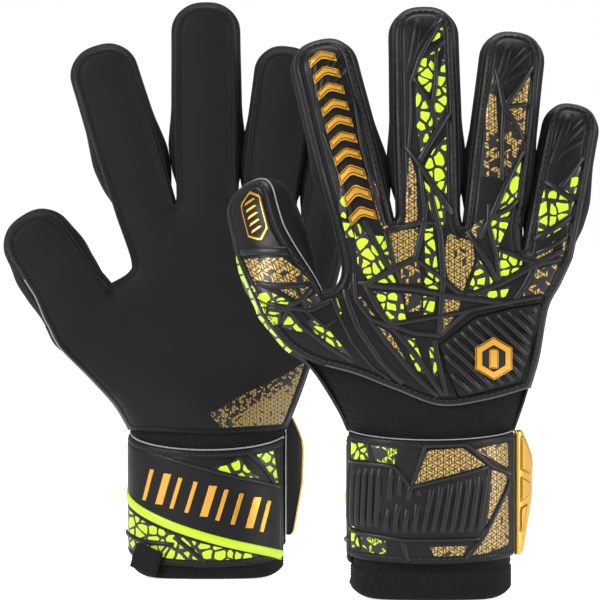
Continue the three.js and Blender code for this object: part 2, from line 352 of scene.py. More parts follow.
class HandSurface(Surface):
    """The back (facing 1) or the palm (facing -1) of a glove, fingers and all."""

    def __init__(self, glove, facing, bottom_left, bottom_right, bottom):
        self.glove = glove
        self.facing = facing
        self.runs = free_edges(glove, bottom_left, bottom_right)
        points = [self.runs[0][1]]
        points += [run[1:] for _, run in self.runs[1:]]
        self.bottom = curve_through(bottom, 1.3)
        super().__init__(np.vstack([*points, self.bottom[1:-1]]))
        self.left_edge = np.array(glove.thumb_edge)
        self.right_edge = np.array(glove.little_edge)[::-1]

    def region(self, points):
        names = np.full(len(points), "hand", dtype="<U8")
        for name, finger in self.glove.fingers.items():
            across, along = finger.local(points)
            names[(along > 0) & (np.abs(across) < finger.half + 4) & (along < finger.length + 9)] = name
        return names

    def profile(self, d):
        if self.facing > 0:
            crown, reach, seam, depth = 3.6, 8.0, BORDER, 0.75
        else:
            crown, reach, seam, depth = 2.4, 6.5, PALM_SEAM, 0.7
        height = crown * (1 - np.exp(-d / reach)) - 1.2
        return height - rounding(d, EDGE_RADIUS) - depth * seam_groove(d, seam)

    def hand_depth(self, points):
        """Half the hand's thickness. The section turns from flat at the knuckles to an oval at the wrist."""
        x, z = points[:, 0], points[:, 1]
        left = np.interp(z, self.left_edge[:, 1], self.left_edge[:, 0])
        right = np.interp(z, self.right_edge[:, 1], self.right_edge[:, 0])
        u = np.clip((x - (left + right) / 2) / ((right - left) / 2), -1, 1)
        wrist = 1 - smoothstep(*WRIST_TO_HAND, z)
        oval = mix(half_depth(z) + 2, CUFF_HALF_DEPTH + 2.2, wrist) * np.sqrt(1 - 0.9 * u**2)
        return mix(half_depth(z), oval, wrist)

    def depth(self, points, regions):
        out = self.hand_depth(points)
        for name, finger in self.glove.fingers.items():
            mine = regions == name
            out[mine] = finger.depth(*finger.local(points[mine]), self.facing)
        return out

    def shape(self, points, height):
        regions = self.region(points)
        return bend(self.glove, regions, points, self.facing * (self.depth(points, regions) + height))


def bend(glove, regions, points, y):
    """Plan points at a depth y, with each finger rolled and curled to its rest shape."""
    out = np.column_stack((points[:, 0], y, points[:, 1]))
    for name, finger in glove.fingers.items():
        mine = regions == name
        if not mine.any():
            continue
        across, along = finger.local(points[mine])
        middle = half_depth(finger.seat[1])
        depth = y[mine]
        roll = finger.roll * smoothstep(0, 30, along)
        across, depth = (
            across * np.cos(roll) - depth * np.sin(roll),
            across * np.sin(roll) + depth * np.cos(roll),
        )
        lowest = middle * (1 - math.cos(finger.roll)) - finger.half * math.sin(finger.roll)
        pivot = lowest - middle
        curl = finger.curl * smoothstep(0, CURL_LENGTH, along)
        above = depth - pivot
        depth = pivot + above * np.cos(curl) - along * np.sin(curl)
        along = above * np.sin(curl) + along * np.cos(curl)
        plan = finger.plan(across, along)
        out[mine] = np.column_stack((plan[:, 0], depth, plan[:, 1]))
    return out


# ---------------------------------------------------------------- meshes
class Part:
    """The points, faces and looks of one piece, in a glove's frame."""

    def __init__(self):
        self.points = []
        self.normals = []
        self.plan = []
        self.faces = []
        self.looks = []
        self.count = 0

    def add(self, points, faces, look, normals=None, plan=None):
        points = np.asarray(points, float)
        faces = [tuple(int(i) + self.count for i in face) for face in faces]
        self.points.append(points)
        self.normals.append(np.zeros_like(points) if normals is None else normals)
        flat = points[:, (0, 2)] if plan is None else np.asarray(plan, float)
        if flat.shape[1] == 2:
            flat = np.column_stack((flat, np.full(len(flat), FAR_WITHIN)))
        self.plan.append(flat)
        self.faces += faces
        self.looks += [look] * len(faces) if isinstance(look, str) else list(look)
        self.count += len(points)


def make_object(name, glove, part, materials):
    points = glove.world(np.vstack(part.points))
    normals = np.vstack(part.normals) * (1, glove.mirror, 1)
    faces = [face[::-1] for face in part.faces] if glove.mirror < 0 else part.faces
    mesh = bpy.data.meshes.new(name)
    mesh.from_pydata(points.tolist(), [], faces)
    used = sorted(set(part.looks))
    for look in used:
        mesh.materials.append(materials[look])
    index = {look: i for i, look in enumerate(used)}
    mesh.polygons.foreach_set("material_index", [index[look] for look in part.looks])
    mesh.polygons.foreach_set("use_smooth", [True] * len(faces))
    plan = mesh.attributes.new("plan", "FLOAT_VECTOR", "POINT")
    plan.data.foreach_set("vector", (np.vstack(part.plan) / 10).ravel())
    mesh.update()
    if np.abs(normals).sum() > 0:
        mesh.normals_split_custom_set_from_vertices(normals.tolist())
    obj = bpy.data.objects.new(name, mesh)
    bpy.context.scene.collection.objects.link(obj)
    return obj


def triangulate(boundary, points, edges):
    """Triangles of the polygon that use all the points and keep all the edges, given as lists of points."""
    verts = [Vector(p) for p in boundary]
    verts += [Vector(p) for p in points]
    kept = []
    for line in edges:
        first = len(verts)
        verts += [Vector(p) for p in line]
        kept += [(i, i + 1) for i in range(first, len(verts) - 1)]
    out = delaunay_2d_cdt(verts, kept, [list(range(len(boundary)))], 1, 1e-3, False)
    points, triangles = np.array([tuple(v) for v in out[0]]), np.array([tuple(f) for f in out[2]])
    return points, triangles[inside(points[triangles].mean(1), boundary)]


def grid_points(boundary, spacing):
    low, high = boundary.min(0), boundary.max(0)
    xs = np.arange(low[0], high[0], spacing)
    zs = np.arange(low[1], high[1], spacing * 0.87)
    x, z = np.meshgrid(xs, zs)
    x[1::2] += spacing / 2
    return np.column_stack((x.ravel(), z.ravel()))


def ring_points(surface, distance):
    """The outline moved inwards, without the points that come too near another edge, as unbroken runs."""
    moved = surface.outline + surface.inward() * distance
    good = (surface.edge_distance(moved) > distance * 0.93) & inside(moved, surface.outline)
    runs, run = [], []
    for point, ok in zip(moved, good):
        if ok and (not run or np.hypot(*(point - run[-1])) < 3.5):
            run.append(point)
            continue
        runs.append(run)
        run = [point] if ok else []
    runs.append(run)
    return [np.array(run) for run in runs if len(run) > 1]


def panel(
    parts,
    surface,
    look,
    rings,
    spacing,
    cuts=(),
    windows=(),
    seam_inset=0.0,
    wide_below=-math.inf,
    under=None,
):
    """A closed panel draped over a surface and cut into its regions, with printed windows of other looks."""
    edges = [np.asarray(cut, float) for cut in cuts]
    for distance in rings:
        edges += ring_points(surface, distance)
    for _, polygon in windows:
        edges.append(resample(closed(polygon), 2.2))
    filler = grid_points(surface.outline, spacing)
    filler = filler[inside(filler, surface.outline)]
    filler = filler[surface.edge_distance(filler) > max(rings) + spacing * 0.6]
    points, triangles = triangulate(surface.outline, filler, edges)
    outer = surface.at(points)
    normals = surface.normal(points)
    inner_normals = -normals
    out, up = surface.rim_directions()
    normals[: len(out)] = out + 0.5 * up
    inner_normals[: len(out)] = out - 0.5 * up
    inner = surface.shape(points, np.full(len(points), -surface.thickness))
    middles = points[triangles].mean(1)
    regions = surface.region(middles)
    looks = np.full(len(triangles), look, dtype="<U16")
    to_edge = surface.edge_distance(middles)
    clear = (to_edge > seam_inset) | ((to_edge > 1.5) & (middles[:, 0] < wide_below))
    reach = np.zeros(len(points))
    for kind, polygon in windows:
        looks[inside(middles, polygon) & clear] = kind
        within = inside(points, polygon)
        reach[within] = distance_to(points[within], polygon, np.roll(polygon, -1, axis=0))
    plan = np.column_stack((points, reach))
    a, b, c = (outer[triangles[:, i]] for i in range(3))
    faces_out = (np.cross(b - a, c - a) * surface.normal(middles)).sum(1) > 0
    triangles = np.where(faces_out[:, None], triangles, triangles[:, ::-1])
    for region in np.unique(regions):
        mine = triangles[regions == region]
        used, flat = np.unique(mine, return_inverse=True)
        mine = flat.reshape(-1, 3)
        count = len(used)
        sides = np.vstack((mine[:, (0, 1)], mine[:, (1, 2)], mine[:, (2, 0)]))
        pairs = {tuple(side) for side in sides.tolist()}
        rim = [(a, b) for a, b in pairs if (b, a) not in pairs]
        faces = [tuple(t) for t in mine]
        faces += [(t[2] + count, t[1] + count, t[0] + count) for t in mine]
        faces += [(b, a, a + count, b + count) for a, b in rim]
        all_looks = [*looks[regions == region]] + [under or look] * len(mine) + [look] * len(rim)
        parts[region].add(
            np.vstack((outer[used], inner[used])),
            faces,
            all_looks,
            normals=np.vstack((normals[used], inner_normals[used])),
            plan=np.vstack((plan[used], plan[used])),
        )


def sheet_faces(rows, columns):
    """Quads of a grid of rows."""
    corners = np.arange(rows * columns).reshape(rows, columns)
    quads = (corners[:-1, :-1], corners[:-1, 1:], corners[1:, 1:], corners[1:, :-1])
    return [tuple(quad) for quad in np.stack(quads, axis=-1).reshape(-1, 4)]


def sleeve_faces(rows, columns):
    """Quads of a sleeve of rows that each close on themselves."""
    low = np.arange((rows - 1) * columns).reshape(-1, columns)
    following = np.roll(low, -1, axis=1)
    quads = np.stack((low, following, following + columns, low + columns), axis=-1)
    return [tuple(quad) for quad in quads.reshape(-1, 4)]


def tube(part, path, radius, look, sides=8):
    """A round tube along a path of points in the glove's frame, closed at its ends."""
    path = np.asarray(path, float)
    tangent = unit(np.gradient(path, axis=0))
    side = np.cross(tangent, (0.0, 1.0, 0.0))
    weak = np.linalg.norm(side, axis=1) < 0.2
    side[weak] = np.cross(tangent[weak], (1.0, 0.0, 0.0))
    side = unit(side)
    up = np.cross(tangent, side)
    angles = np.linspace(0, 2 * math.pi, sides, endpoint=False)
    ring = side[:, None] * np.cos(angles)[None, :, None] + up[:, None] * np.sin(angles)[None, :, None]
    points = (path[:, None] + ring * radius).reshape(-1, 3)
    faces = sleeve_faces(len(path), sides)
    last = (len(path) - 1) * sides
    faces.append(tuple(range(sides))[::-1])
    faces.append(tuple(range(last, last + sides)))
    part.add(points, faces, look)


def raised(parts, surface, polygon, height, bevel, look, sunk=0.5):
    """A moulded shape that stands on a surface, with a bevelled top edge."""
    polygon = resample(closed(polygon), 2.0)[:-1]
    along = np.roll(polygon, -1, axis=0) - np.roll(polygon, 1, axis=0)
    area = (polygon[:, 0] * np.roll(polygon[:, 1], -1) - np.roll(polygon[:, 0], -1) * polygon[:, 1]).sum()
    if area > 0:
        polygon, along = polygon[::-1], -along[::-1]
    inward = right_of(along)
    top = polygon + inward * bevel
    cap_points, cap = triangulate(top, np.empty((0, 2)), [])
    count = len(polygon)
    walls = np.vstack(
        (
            surface.at(polygon, -sunk),
            surface.at(polygon, height - bevel * 0.8),
            surface.at(polygon + inward * bevel * 0.3, height - bevel * 0.3),
            surface.at(top, height),
        )
    )
    faces = [face[::-1] for face in sleeve_faces(4, count)]
    roof = surface.at(cap_points, height)
    a, b, c = (roof[cap[:, i]] for i in range(3))
    out = (np.cross(b - a, c - a) * surface.normal(cap_points[cap[:, 0]])).sum(1) > 0
    cap = np.where(out[:, None], cap, cap[:, ::-1])
    faces += [tuple(int(i) + 4 * count for i in face) for face in cap]
    region = surface.region(polygon.mean(0)[None])[0]
    plan = np.vstack((polygon, polygon, polygon, top, cap_points))
    normals = np.zeros((len(plan), 3))
    normals[4 * count :] = surface.normal(cap_points)
    normals[3 * count : 4 * count] = surface.normal(top)
    parts[region].add(np.vstack((walls, roof)), faces, look, normals=normals, plan=plan)


def rib(parts, surface, line, height, look, spacing=2.0, margin=0.8):
    """A raised bar along a plan line of (x, z, width), rounded across and run out to nothing at its ends."""
    line = resample(np.asarray(line, float), spacing)
    path, width = line[:, :2], line[:, 2]
    across = -right_of(np.gradient(path, axis=0))
    regions = surface.region(path)
    clear = inside(path, surface.outline) & (surface.edge_distance(path) > margin)
    section = [(-0.5, -0.5), (-0.42, 0.45), (-0.26, 0.9), (0, 1), (0.26, 0.9), (0.42, 0.45), (0.5, -0.5)]
    columns = len(section)
    flat = np.vstack([path + across * (width * x)[:, None] for x, _ in section])
    run = np.minimum(np.arange(len(path)), np.arange(len(path))[::-1]) * spacing
    fade = np.clip(0.25 + run / 5, 0, 1)
    lift = np.concatenate([np.full(len(path), height * z) * fade for _, z in section])
    points = surface.at(flat, lift)
    rows = len(path)
    wanted = {name: [] for name in set(regions)}
    for row in range(rows - 1):
        if not (clear[row] and clear[row + 1]):
            continue
        for column in range(columns - 1):
            a = column * rows + row
            b = (column + 1) * rows + row
            face = (a, a + 1, b + 1, b)
            wanted[regions[row]].append(face[::-1] if surface.facing > 0 else face)
    for name, faces in wanted.items():
        if faces:
            used, flat_index = np.unique(np.array(faces), return_inverse=True)
            parts[name].add(points[used], flat_index.reshape(-1, 4), look, plan=flat[used])


def stitches(part, surface, line, look, spacing=3.0, length=1.9, radius=0.28, height=0.1):
    """A row of sewn threads along a plan line."""
    line = resample(line, spacing)
    for a, b in zip(line, line[1:]):
        middle, step = (a + b) / 2, (b - a) / max(np.hypot(*(b - a)), 1e-9)
        ends = np.array([middle - step * length / 2, middle, middle + step * length / 2])
        tube(part, surface.at(ends, np.array((-0.15, height, -0.15))), radius, look, sides=5)


# ---------------------------------------------------------------- the backhand's design, on the right glove
DESIGN_SHIFT = np.array((0.2, 3.2))  # of the points on the hand, to where they lie on its crowned surface


def on_finger(name, *points):
    """Points given across and along a finger of the right glove."""
    across, along = np.array(points, float).T
    return RIGHT.fingers[name].plan(across, along) - DESIGN_SHIFT


WINDOWS = [
    ("lime", [(-36, 170), (-32.5, 168), (-21, 148.6), (-29, 142.6), (-34, 150)]),
    ("lime", [(-27, 163), (-21.4, 162.6), (-18, 148), (-21, 149)]),
    ("lime", [(-28, 140), (-18.5, 146), (-16.5, 141.6)]),
    ("gold", [(-20, 164.4), (-6, 166.5), (-7, 154.4), (-17.2, 150)]),
    ("dashes", [(-14.5, 150.5), (-6, 151.5), (-5, 141.5), (-14, 141)]),
    ("lime", [(-26.5, 137.5), (-14, 136.5), (-12, 124.5), (-18.9, 123.4)]),
    ("dashes", [(-12.6, 136.5), (-5, 136), (-5, 129), (-11.5, 128)]),
    ("lime", [(-3.4, 166), (0.4, 166), (3.4, 141), (-3, 146)]),
    ("lime", [(-4, 144.5), (3, 140.5), (8, 136), (-2.5, 137)]),
    ("lime", [(-4, 135.4), (1.6, 134.6), (0.5, 127.6), (-4, 127)]),
    ("gold", [(7.3, 164), (18.3, 160), (19.5, 152), (14, 137.6), (7.6, 142), (5.4, 154)]),
    ("gold", [(3.6, 134.6), (13.2, 134), (11.7, 128.4), (3.8, 127.8)]),
    ("gold", [(3.8, 125.4), (10.3, 126), (3.6, 118.7)]),
    ("lime", [(21, 153), (28, 141.8), (22, 137.5), (16.6, 139), (19.4, 146)]),
    ("lime", [(30.6, 155.6), (42, 154), (40, 147), (31.4, 142.5)]),
    ("lime", [(26.6, 169), (36, 171), (30, 157.3), (27.5, 157.3)]),
    ("lime", [(20, 137), (31, 138), (36, 140.5), (33, 134.5), (22, 134)]),
    ("dashes", [(40, 134.6), (47, 147), (57, 150), (57.5, 144), (53, 137)]),
    ("gold", [(46.6, 152), (56, 160.5), (54.4, 154), (49, 150.6)]),
    ("gold", [(55.6, 152), (64, 166), (62, 155)]),
    ("dashes", [(-35.4, 138), (-31, 128.2), (-24.7, 124), (-32, 134.5)]),
    ("gold", [(-28.4, 124), (-18.9, 118), (-9.6, 102)]),
    ("lime", [(-14.5, 117), (-8, 116), (-2.6, 100), (-6.4, 101)]),
    ("lime", [(-1.6, 112), (1.2, 112), (2.4, 99), (0.6, 98.6)]),
    ("lime", [(-50.6, 142.6), (-44.8, 143), (-43, 138.6), (-44.6, 136.8), (-49.6, 139)]),
    ("lime", [(-47.6, 136.4), (-44.2, 136.6), (-41, 127.2), (-43, 127.6), (-46, 133)]),
    ("dashes", [(10, 168.5), (16, 166), (23.6, 170.5), (22.4, 163), (17.6, 160.4), (11.6, 164.6)]),
    ("lime", [(-53.4, 126.5), (-48.4, 121.3), (-35.4, 106), (-41, 106.6), (-48.6, 113.6), (-57, 123.4)]),
    ("lime", [(-77.4, 129.9), (-68.8, 127.8), (-69.9, 121.4), (-75, 123)]),
    ("lime", [(-66.8, 127), (-50.6, 117), (-68.6, 121.2)]),
    ("dashes", [(-60.4, 132.6), (-53, 136), (-50, 137.3), (-50.4, 132.2), (-56, 129)]),
    ("gold", on_finger("thumb", (-10, 20.2), (7, 15.3), (10.4, 9.5), (12, 5.4), (-11, 10.8))),
    ("gold", on_finger("thumb", (-2.5, 6.8), (10.6, 3.6), (3, 0.4))),
    ("lime", on_finger("thumb", (-13.6, 11.6), (-9, 8.9), (0.2, 0.4), (-5, -1), (-13.6, 3))),
    ("lime", on_finger("index", (-6.4, 16), (-6, 8.6), (-7.4, 3), (-10.4, 5))),
    ("lime", on_finger("index", (-10, 3), (-6.4, 1), (-6, -6), (-10.6, -5))),
    ("gold", on_finger("index", (6.8, 17), (9.4, 14), (10.5, 2), (13, -6), (9.4, -9), (7, -2))),
    (
        "lime",
        on_finger(
            "middle", (10.2, 86.5), (9, 77), (4.2, 66), (4.2, 57), (2.1, 51.5), (-3.9, 58.6), (-2, 66.8)
        ),
    ),
    ("lime", on_finger("middle", (9.2, 70), (9.7, 48), (6.6, 35.8), (3.6, 45), (5, 58))),
    ("lime", on_finger("middle", (-4.4, 58), (3, 41), (3, 34.5), (-2.7, 24), (-4.4, 38))),
    ("lime", on_finger("middle", (9, 31.4), (8.6, 7), (-1.8, 17.2), (2.8, 25))),
    ("lime", on_finger("middle", (-1.6, 13), (8, 4.6), (7.6, -6), (2.6, -6.6))),
    ("gold", on_finger("middle", (-8, 23), (-5.1, 15.1), (-5, -2.6), (-11.4, -4))),
    ("gold", on_finger("middle", (10.4, 64), (12.6, 64), (12.4, 38), (10.8, 38))),
    ("gold", on_finger("ring", (-7.6, 68), (-2.9, 40.1), (-7.4, 33.8), (-9.3, 47.7))),
    ("dashes", on_finger("ring", (-2.9, 40.1), (0.5, 19), (-8.4, 18.8), (-8, 33.8))),
    ("gold", on_finger("ring", (11.2, 75), (10.8, 55.8), (-1.9, 52.5))),
    ("gold", on_finger("ring", (-0.3, 50.5), (8.6, 53.4), (9.4, 40))),
    ("dashes", on_finger("ring", (-0.3, 48.3), (9, 39.8), (5, 20), (2, 19.6))),
    ("lime", on_finger("ring", (9.9, 32), (11.7, 14.3), (2, -1), (-1.6, 2.4))),
    ("lime", on_finger("pinky", (10.7, 47.4), (10.6, 40.2), (11.2, 25.6), (0.9, 22.5))),
    ("lime", on_finger("pinky", (-7, 23.8), (-2.4, 24.1), (7.5, 21.4), (6.2, 13.4), (-6, 7.6), (-8, 13.2))),
    ("lime", on_finger("pinky", (9.4, 14), (-4.4, 4.6), (-4.4, 7.4), (2, 10.4))),
]

RIBS = [
    [(-34, 141.5, 2.2), (-30, 141, 3.4), (-7.5, 152.8, 3.0), (-3.6, 169.7, 3.0), (-2.6, 178, 2.2)],
    [(-30.5, 140.6, 3.6), (-8, 138.6, 3.2), (14.6, 134.6, 4.0), (37.2, 131.8, 3.2)],
    [(-8, 152.8, 2.6), (4, 144, 3.0), (14.6, 134.7, 3.4)],
    [(14.6, 134.7, 3.4), (31, 141, 3.2), (47.4, 150, 4.4), (62, 157.5, 2.8), (70, 166, 2.4)],
    [(-21, 165, 3.2), (-3.6, 169.4, 3.0), (4, 168.5, 2.0)],
    [(-21, 165, 3.0), (-17.2, 149, 2.4), (-14, 141, 2.0)],
    [(-31, 170, 3.0), (-24, 156, 2.8), (-17.6, 145.6, 2.6)],
    [(-0.6, 181, 3.0), (3.8, 164, 3.4), (5, 142, 3.4), (3.2, 118, 3.0)],
    [(2.4, 182, 2.6), (14.6, 167.5, 3.2), (26.3, 149.3, 3.0), (30.8, 140, 2.4)],
    [(26, 176, 2.6), (25.6, 168, 3.0), (29.2, 154.4, 2.6), (30.6, 141, 2.4)],
    [(26, 170.5, 2.6), (35.5, 174.5, 2.6), (42, 180, 2.2)],
    [(47.4, 150, 4.0), (41.4, 159, 3.2), (36.5, 166, 2.4)],
    [(30, 157, 2.4), (47.4, 150.6, 4.0), (56.4, 151.6, 3.0), (61, 153, 2.4)],
    [(47.4, 150, 3.8), (42.5, 140, 3.6), (37.2, 132.6, 3.0)],
    [(-30.5, 140.6, 3.6), (-25, 130, 3.4), (-18.9, 122, 3.4)],
    [(-18.9, 122.4, 3.0), (0, 125.6, 2.6), (16.6, 128.6, 2.6)],
    [(-18.9, 122.4, 3.0), (-8, 118.6, 3.4), (4, 117.6, 3.0)],
    [(4, 117.6, 3.0), (10, 123, 2.6), (17, 129, 2.6), (37.2, 133, 3.2), (54, 136, 3.0)],
    [(-36, 146, 2.6), (-35, 134, 2.8), (-28.6, 125.4, 3.2), (-19, 121.4, 3.0)],
    [(-28.6, 124.8, 2.6), (-20, 113, 3.0), (-9, 100.6, 3.4), (4, 88, 3.0)],
    [(-18, 121, 3.0), (-8, 109, 3.2), (0, 97, 3.0), (6, 88, 2.6)],
    [(1, 115, 2.6), (3.6, 102, 2.8), (7, 88, 2.6)],
    # the strip that borders the hand's middle panel, along the thumb
    [(-44, 166, 3.0), (-41.6, 152, 3.4), (-39.6, 136, 3.6), (-34, 121, 3.6), (-24, 106, 3.6), (-12, 94, 3.2)],
    [(-47.6, 140, 1.6), (-43.4, 128, 1.8), (-37, 114.6, 1.8), (-28, 103.6, 1.8), (-17.6, 95.8, 1.6)],
    [(-77, 131.6, 3.0), (-66, 130, 3.2), (-55, 129, 3.0), (-44.6, 134, 2.4)],
    [(-66, 130, 2.6), (-60, 122, 2.6), (-49, 113.6, 3.0), (-36, 105, 2.6)],
    [(-72, 119.6, 2.4), (-66.4, 127, 2.4), (-66, 131, 2.2)],
    [(-61.6, 139.5, 2.4), (-57, 128, 2.4), (-48.6, 121.4, 2.4), (-43.6, 125, 2.0)],
]


def finger_ribs():
    lines = {
        "thumb": [
            [(-12, 24, 3.6), (0, 20.4, 4), (12.4, 16, 3.4)],
            [(-12, 11.8, 2.4), (-4, 8, 2.8), (13.4, 3.8, 2.6)],
            [(-13, 2.2, 2.4), (-4.6, -1.9, 3.2), (5.2, 0, 2.8), (13, 3.6, 2.4)],
        ],
        "index": [
            [(-8, 40, 1.8), (-5.6, 20, 2.2), (-4.6, 2, 2.4), (-4, -6, 2.4)],
            [(9.8, 52, 1.8), (7.6, 30, 2.2), (8, 14, 2.2), (9, -4, 2.4)],
        ],
        "middle": [
            [(9.6, 89, 2.2), (-2.6, 68, 2.8), (-6.4, 57, 2.4)],
            [(-6, 61, 2.2), (2.6, 46, 2.8), (5.2, 35.6, 2.8)],
            [(5.6, 73, 2), (4.8, 56, 2.4), (3, 46, 2.4)],
            [(11.8, 44, 2.4), (4.8, 33.6, 3.2), (-3.6, 20.6, 3)],
            [(-9.8, 27, 2.4), (-3.4, 19.3, 3), (9.4, 2, 3), (12, -2, 2.6)],
            [(-3.4, 19, 2.4), (-2.2, 6, 2.4), (-1.6, -6, 2.6)],
            [(-6.6, 58, 2.0), (-7, 40, 2.2), (-8.6, 24, 2.2)],
        ],
        "ring": [
            [(-7, 69, 2.4), (-1.4, 51.3, 3.4), (4, 45.6, 2.6), (10.4, 36, 2.4)],
            [(-1.4, 51.3, 3.2), (4, 60.6, 2.8), (11.4, 76, 2.4)],
            [(-1.4, 51.3, 2.8), (10.8, 54.8, 2.4)],
            [(-1.4, 51.3, 2.8), (-0.8, 38, 2.4), (1.5, 18, 2.2)],
            [(10.6, 34, 2.8), (4.4, 18.6, 3.2), (-3, 0.6, 3.0), (-5, -6, 2.4)],
        ],
        "pinky": [
            [(11, 49, 2.4), (4, 33.4, 2.8), (-0.6, 24.6, 3)],
            [(-7.5, 27, 2.2), (-0.6, 24.2, 3.2), (10.6, 19.8, 2.6)],
            [(10.2, 17.4, 2.4), (0, 9.6, 2.8), (-9, 3.8, 2.6)],
            [(9, 9, 2.2), (-5, -1, 2.6)],
        ],
    }
    out = []
    for name, ribs in lines.items():
        for line in ribs:
            line = np.array(line, float)
            out.append(np.column_stack((on_finger(name, *line[:, :2]), line[:, 2])))
    return out


def tip_creases():
    """The soft facets of each fingertip's cap, as low ridges that fan out from a corner."""
    out = []
    for name in FINGERS[1:]:
        finger = RIGHT.fingers[name]
        w, top = finger.half_mid, finger.length
        fans = [
            [(-w * 0.5, top - 32), (-w * 0.1, top - 20), (w * 0.5, top - 9)],
            [(-w * 0.5, top - 32), (-w * 0.3, top - 18), (-w * 0.15, top - 6)],
            [(-w * 0.3, top - 26), (w * 0.2, top - 21), (w * 0.66, top - 17)],
        ]
        for line in fans:
            plan = on_finger(name, *line)
            out.append(np.column_stack((plan, np.full(len(plan), 4.4))))
    return out


def chevrons():
    """Plain raised chevrons along the index finger, each as a polygon."""
    out = []
    wide, thick, rise = 6.2, 4.2, 3.4
    for k in range(10):
        foot = -0.8 + k * 7.95
        out.append(
            on_finger(
                "index",
                (-wide, foot),
                (0, foot + rise),
                (wide, foot),
                (wide, foot + thick),
                (0, foot + rise + thick),
                (-wide, foot + thick),
            )
        )
    return out


PAD = [(2.6, 113.4), (19.6, 126.4), (36, 130.4), (50.4, 132.6), (46, 111), (41.4, 95.6), (12, 88.2), (6, 101)]
EMBLEM = [(19.5, 102), (19.5, 112), (28, 117), (36.5, 112), (36.5, 102), (28, 97)]


def fit(points, glove):
    """Takes points of the right glove's plan to the same places on another glove's."""
    points = np.asarray(points, float)
    points = points + np.pad(DESIGN_SHIFT, (0, points.shape[1] - 2))
    if glove is RIGHT:
        return points
    plan = points[:, :2]
    anchors = [finger.seat for finger in RIGHT.fingers.values()] + [(-45, 90), (0, 88), (44, 90), (0, 125)]
    moves = [glove.fingers[name].seat - RIGHT.fingers[name].seat for name in RIGHT.fingers] + [(0, 0)] * 4
    weight = 1 / (((plan[:, None] - np.array(anchors)[None]) ** 2).sum(2) + 1) ** 1.5
    out = plan + (weight @ np.array(moves)) / weight.sum(1)[:, None]
    for name, finger in RIGHT.fingers.items():
        across, along = finger.local(plan)
        mine = (along > -3) & (np.abs(across) < finger.half + 3)
        other = glove.fingers[name]
        wide, tall = other.half_mid / finger.half_mid, other.length / finger.length
        out[mine] = other.plan(across[mine] * wide, along[mine] * tall)
    return np.column_stack((out, points[:, 2:]))


# ---------------------------------------------------------------- materials
class Shader:
    """A material's node tree, with short calls for the nodes used here."""

    def __init__(self, name, colour, roughness, metallic=0.0, sheen=0.0, coat=0.0, shine=0.5):
        self.material = bpy.data.materials.new(name)
        self.material.use_nodes = True
        self.tree = self.material.node_tree
        self.bsdf = self.tree.nodes["Principled BSDF"]
        self.bsdf.inputs["Base Color"].default_value = (*colour, 1)
        self.bsdf.inputs["Roughness"].default_value = roughness
        self.bsdf.inputs["Metallic"].default_value = metallic
        self.bsdf.inputs["Sheen Weight"].default_value = sheen
        self.bsdf.inputs["Coat Weight"].default_value = coat
        self.bsdf.inputs["Specular IOR Level"].default_value = shine
        self.height = None

    def node(self, kind, **settings):
        node = self.tree.nodes.new(kind)
        for key, value in settings.items():
            setattr(node, key, value)
        return node

    def plug(self, socket, value):
        if isinstance(value, bpy.types.NodeSocket):
            self.tree.links.new(value, socket)
        else:
            socket.default_value = value

    def math(self, operation, *values):
        node = self.node("ShaderNodeMath", operation=operation)
        for socket, value in zip(node.inputs, values):
            self.plug(socket, value)
        return node.outputs[0]

    def vector(self, operation, *values):
        node = self.node("ShaderNodeVectorMath", operation=operation)
        for socket, value in zip(node.inputs, values):
            self.plug(socket, value)
        return node.outputs["Value" if operation in ("DOT_PRODUCT", "LENGTH") else "Vector"]

    def ramp(self, value, low, high, start=0.0, end=1.0):
        node = self.node("ShaderNodeMapRange", interpolation_type="SMOOTHSTEP")
        for key, number in (("From Min", low), ("From Max", high), ("To Min", start), ("To Max", end)):
            node.inputs[key].default_value = number
        self.plug(node.inputs["Value"], value)
        return node.outputs["Result"]

    def plan(self):
        """Position on the flat pattern, in centimetres."""
        return self.node("ShaderNodeAttribute", attribute_name="plan").outputs["Vector"]

    def place(self):
        return self.node("ShaderNodeTexCoord").outputs["Object"]

    def noise(self, scale, where=None, detail=3.0):
        node = self.node("ShaderNodeTexNoise")
        node.inputs["Scale"].default_value = scale
        node.inputs["Detail"].default_value = detail
        self.plug(node.inputs["Vector"], where or self.place())
        return node.outputs["Fac"]

    def mix_colour(self, factor, low, high):
        node = self.node("ShaderNodeMix", data_type="RGBA")
        self.plug(node.inputs["Factor"], factor)
        for key, colour in ((6, low), (7, high)):
            if isinstance(colour, bpy.types.NodeSocket):
                self.tree.links.new(colour, node.inputs[key])
            else:
                node.inputs[key].default_value = (*colour, 1)
        return node.outputs[2]

    def colour(self, value):
        self.plug(self.bsdf.inputs["Base Color"], value)

    def roughness(self, value):
        self.plug(self.bsdf.inputs["Roughness"], value)

    def bump(self, value, distance, strength=1.0):
        """Adds a layer of bump, with its height in metres."""
        node = self.node("ShaderNodeBump")
        node.inputs["Distance"].default_value = distance
        node.inputs["Strength"].default_value = strength
        self.plug(node.inputs["Height"], value)
        if self.height:
            self.tree.links.new(self.height, node.inputs["Normal"])
        self.height = node.outputs["Normal"]
        self.tree.links.new(self.height, self.bsdf.inputs["Normal"])


BLACK_FOAM = (0.0035, 0.0035, 0.004)
LIME = (0.40, 0.56, 0.006)
GOLD_PRINT = (0.42, 0.27, 0.06)
PALM_PRINT = (0.30, 0.20, 0.05)
GOLD = (0.62, 0.31, 0.03)


def latex():
    s = Shader("latex", (0.005, 0.005, 0.0055), 0.55, shine=0.13)
    s.bump(s.noise(1400, detail=4), 0.00008, 0.5)
    s.bump(s.noise(60, detail=2), 0.0006, 0.35)
    s.roughness(s.ramp(s.noise(90), 0.3, 0.7, 0.48, 0.62))
    s.colour(s.mix_colour(s.noise(35), (0.004, 0.004, 0.0045), (0.0065, 0.0065, 0.007)))
    return s.material


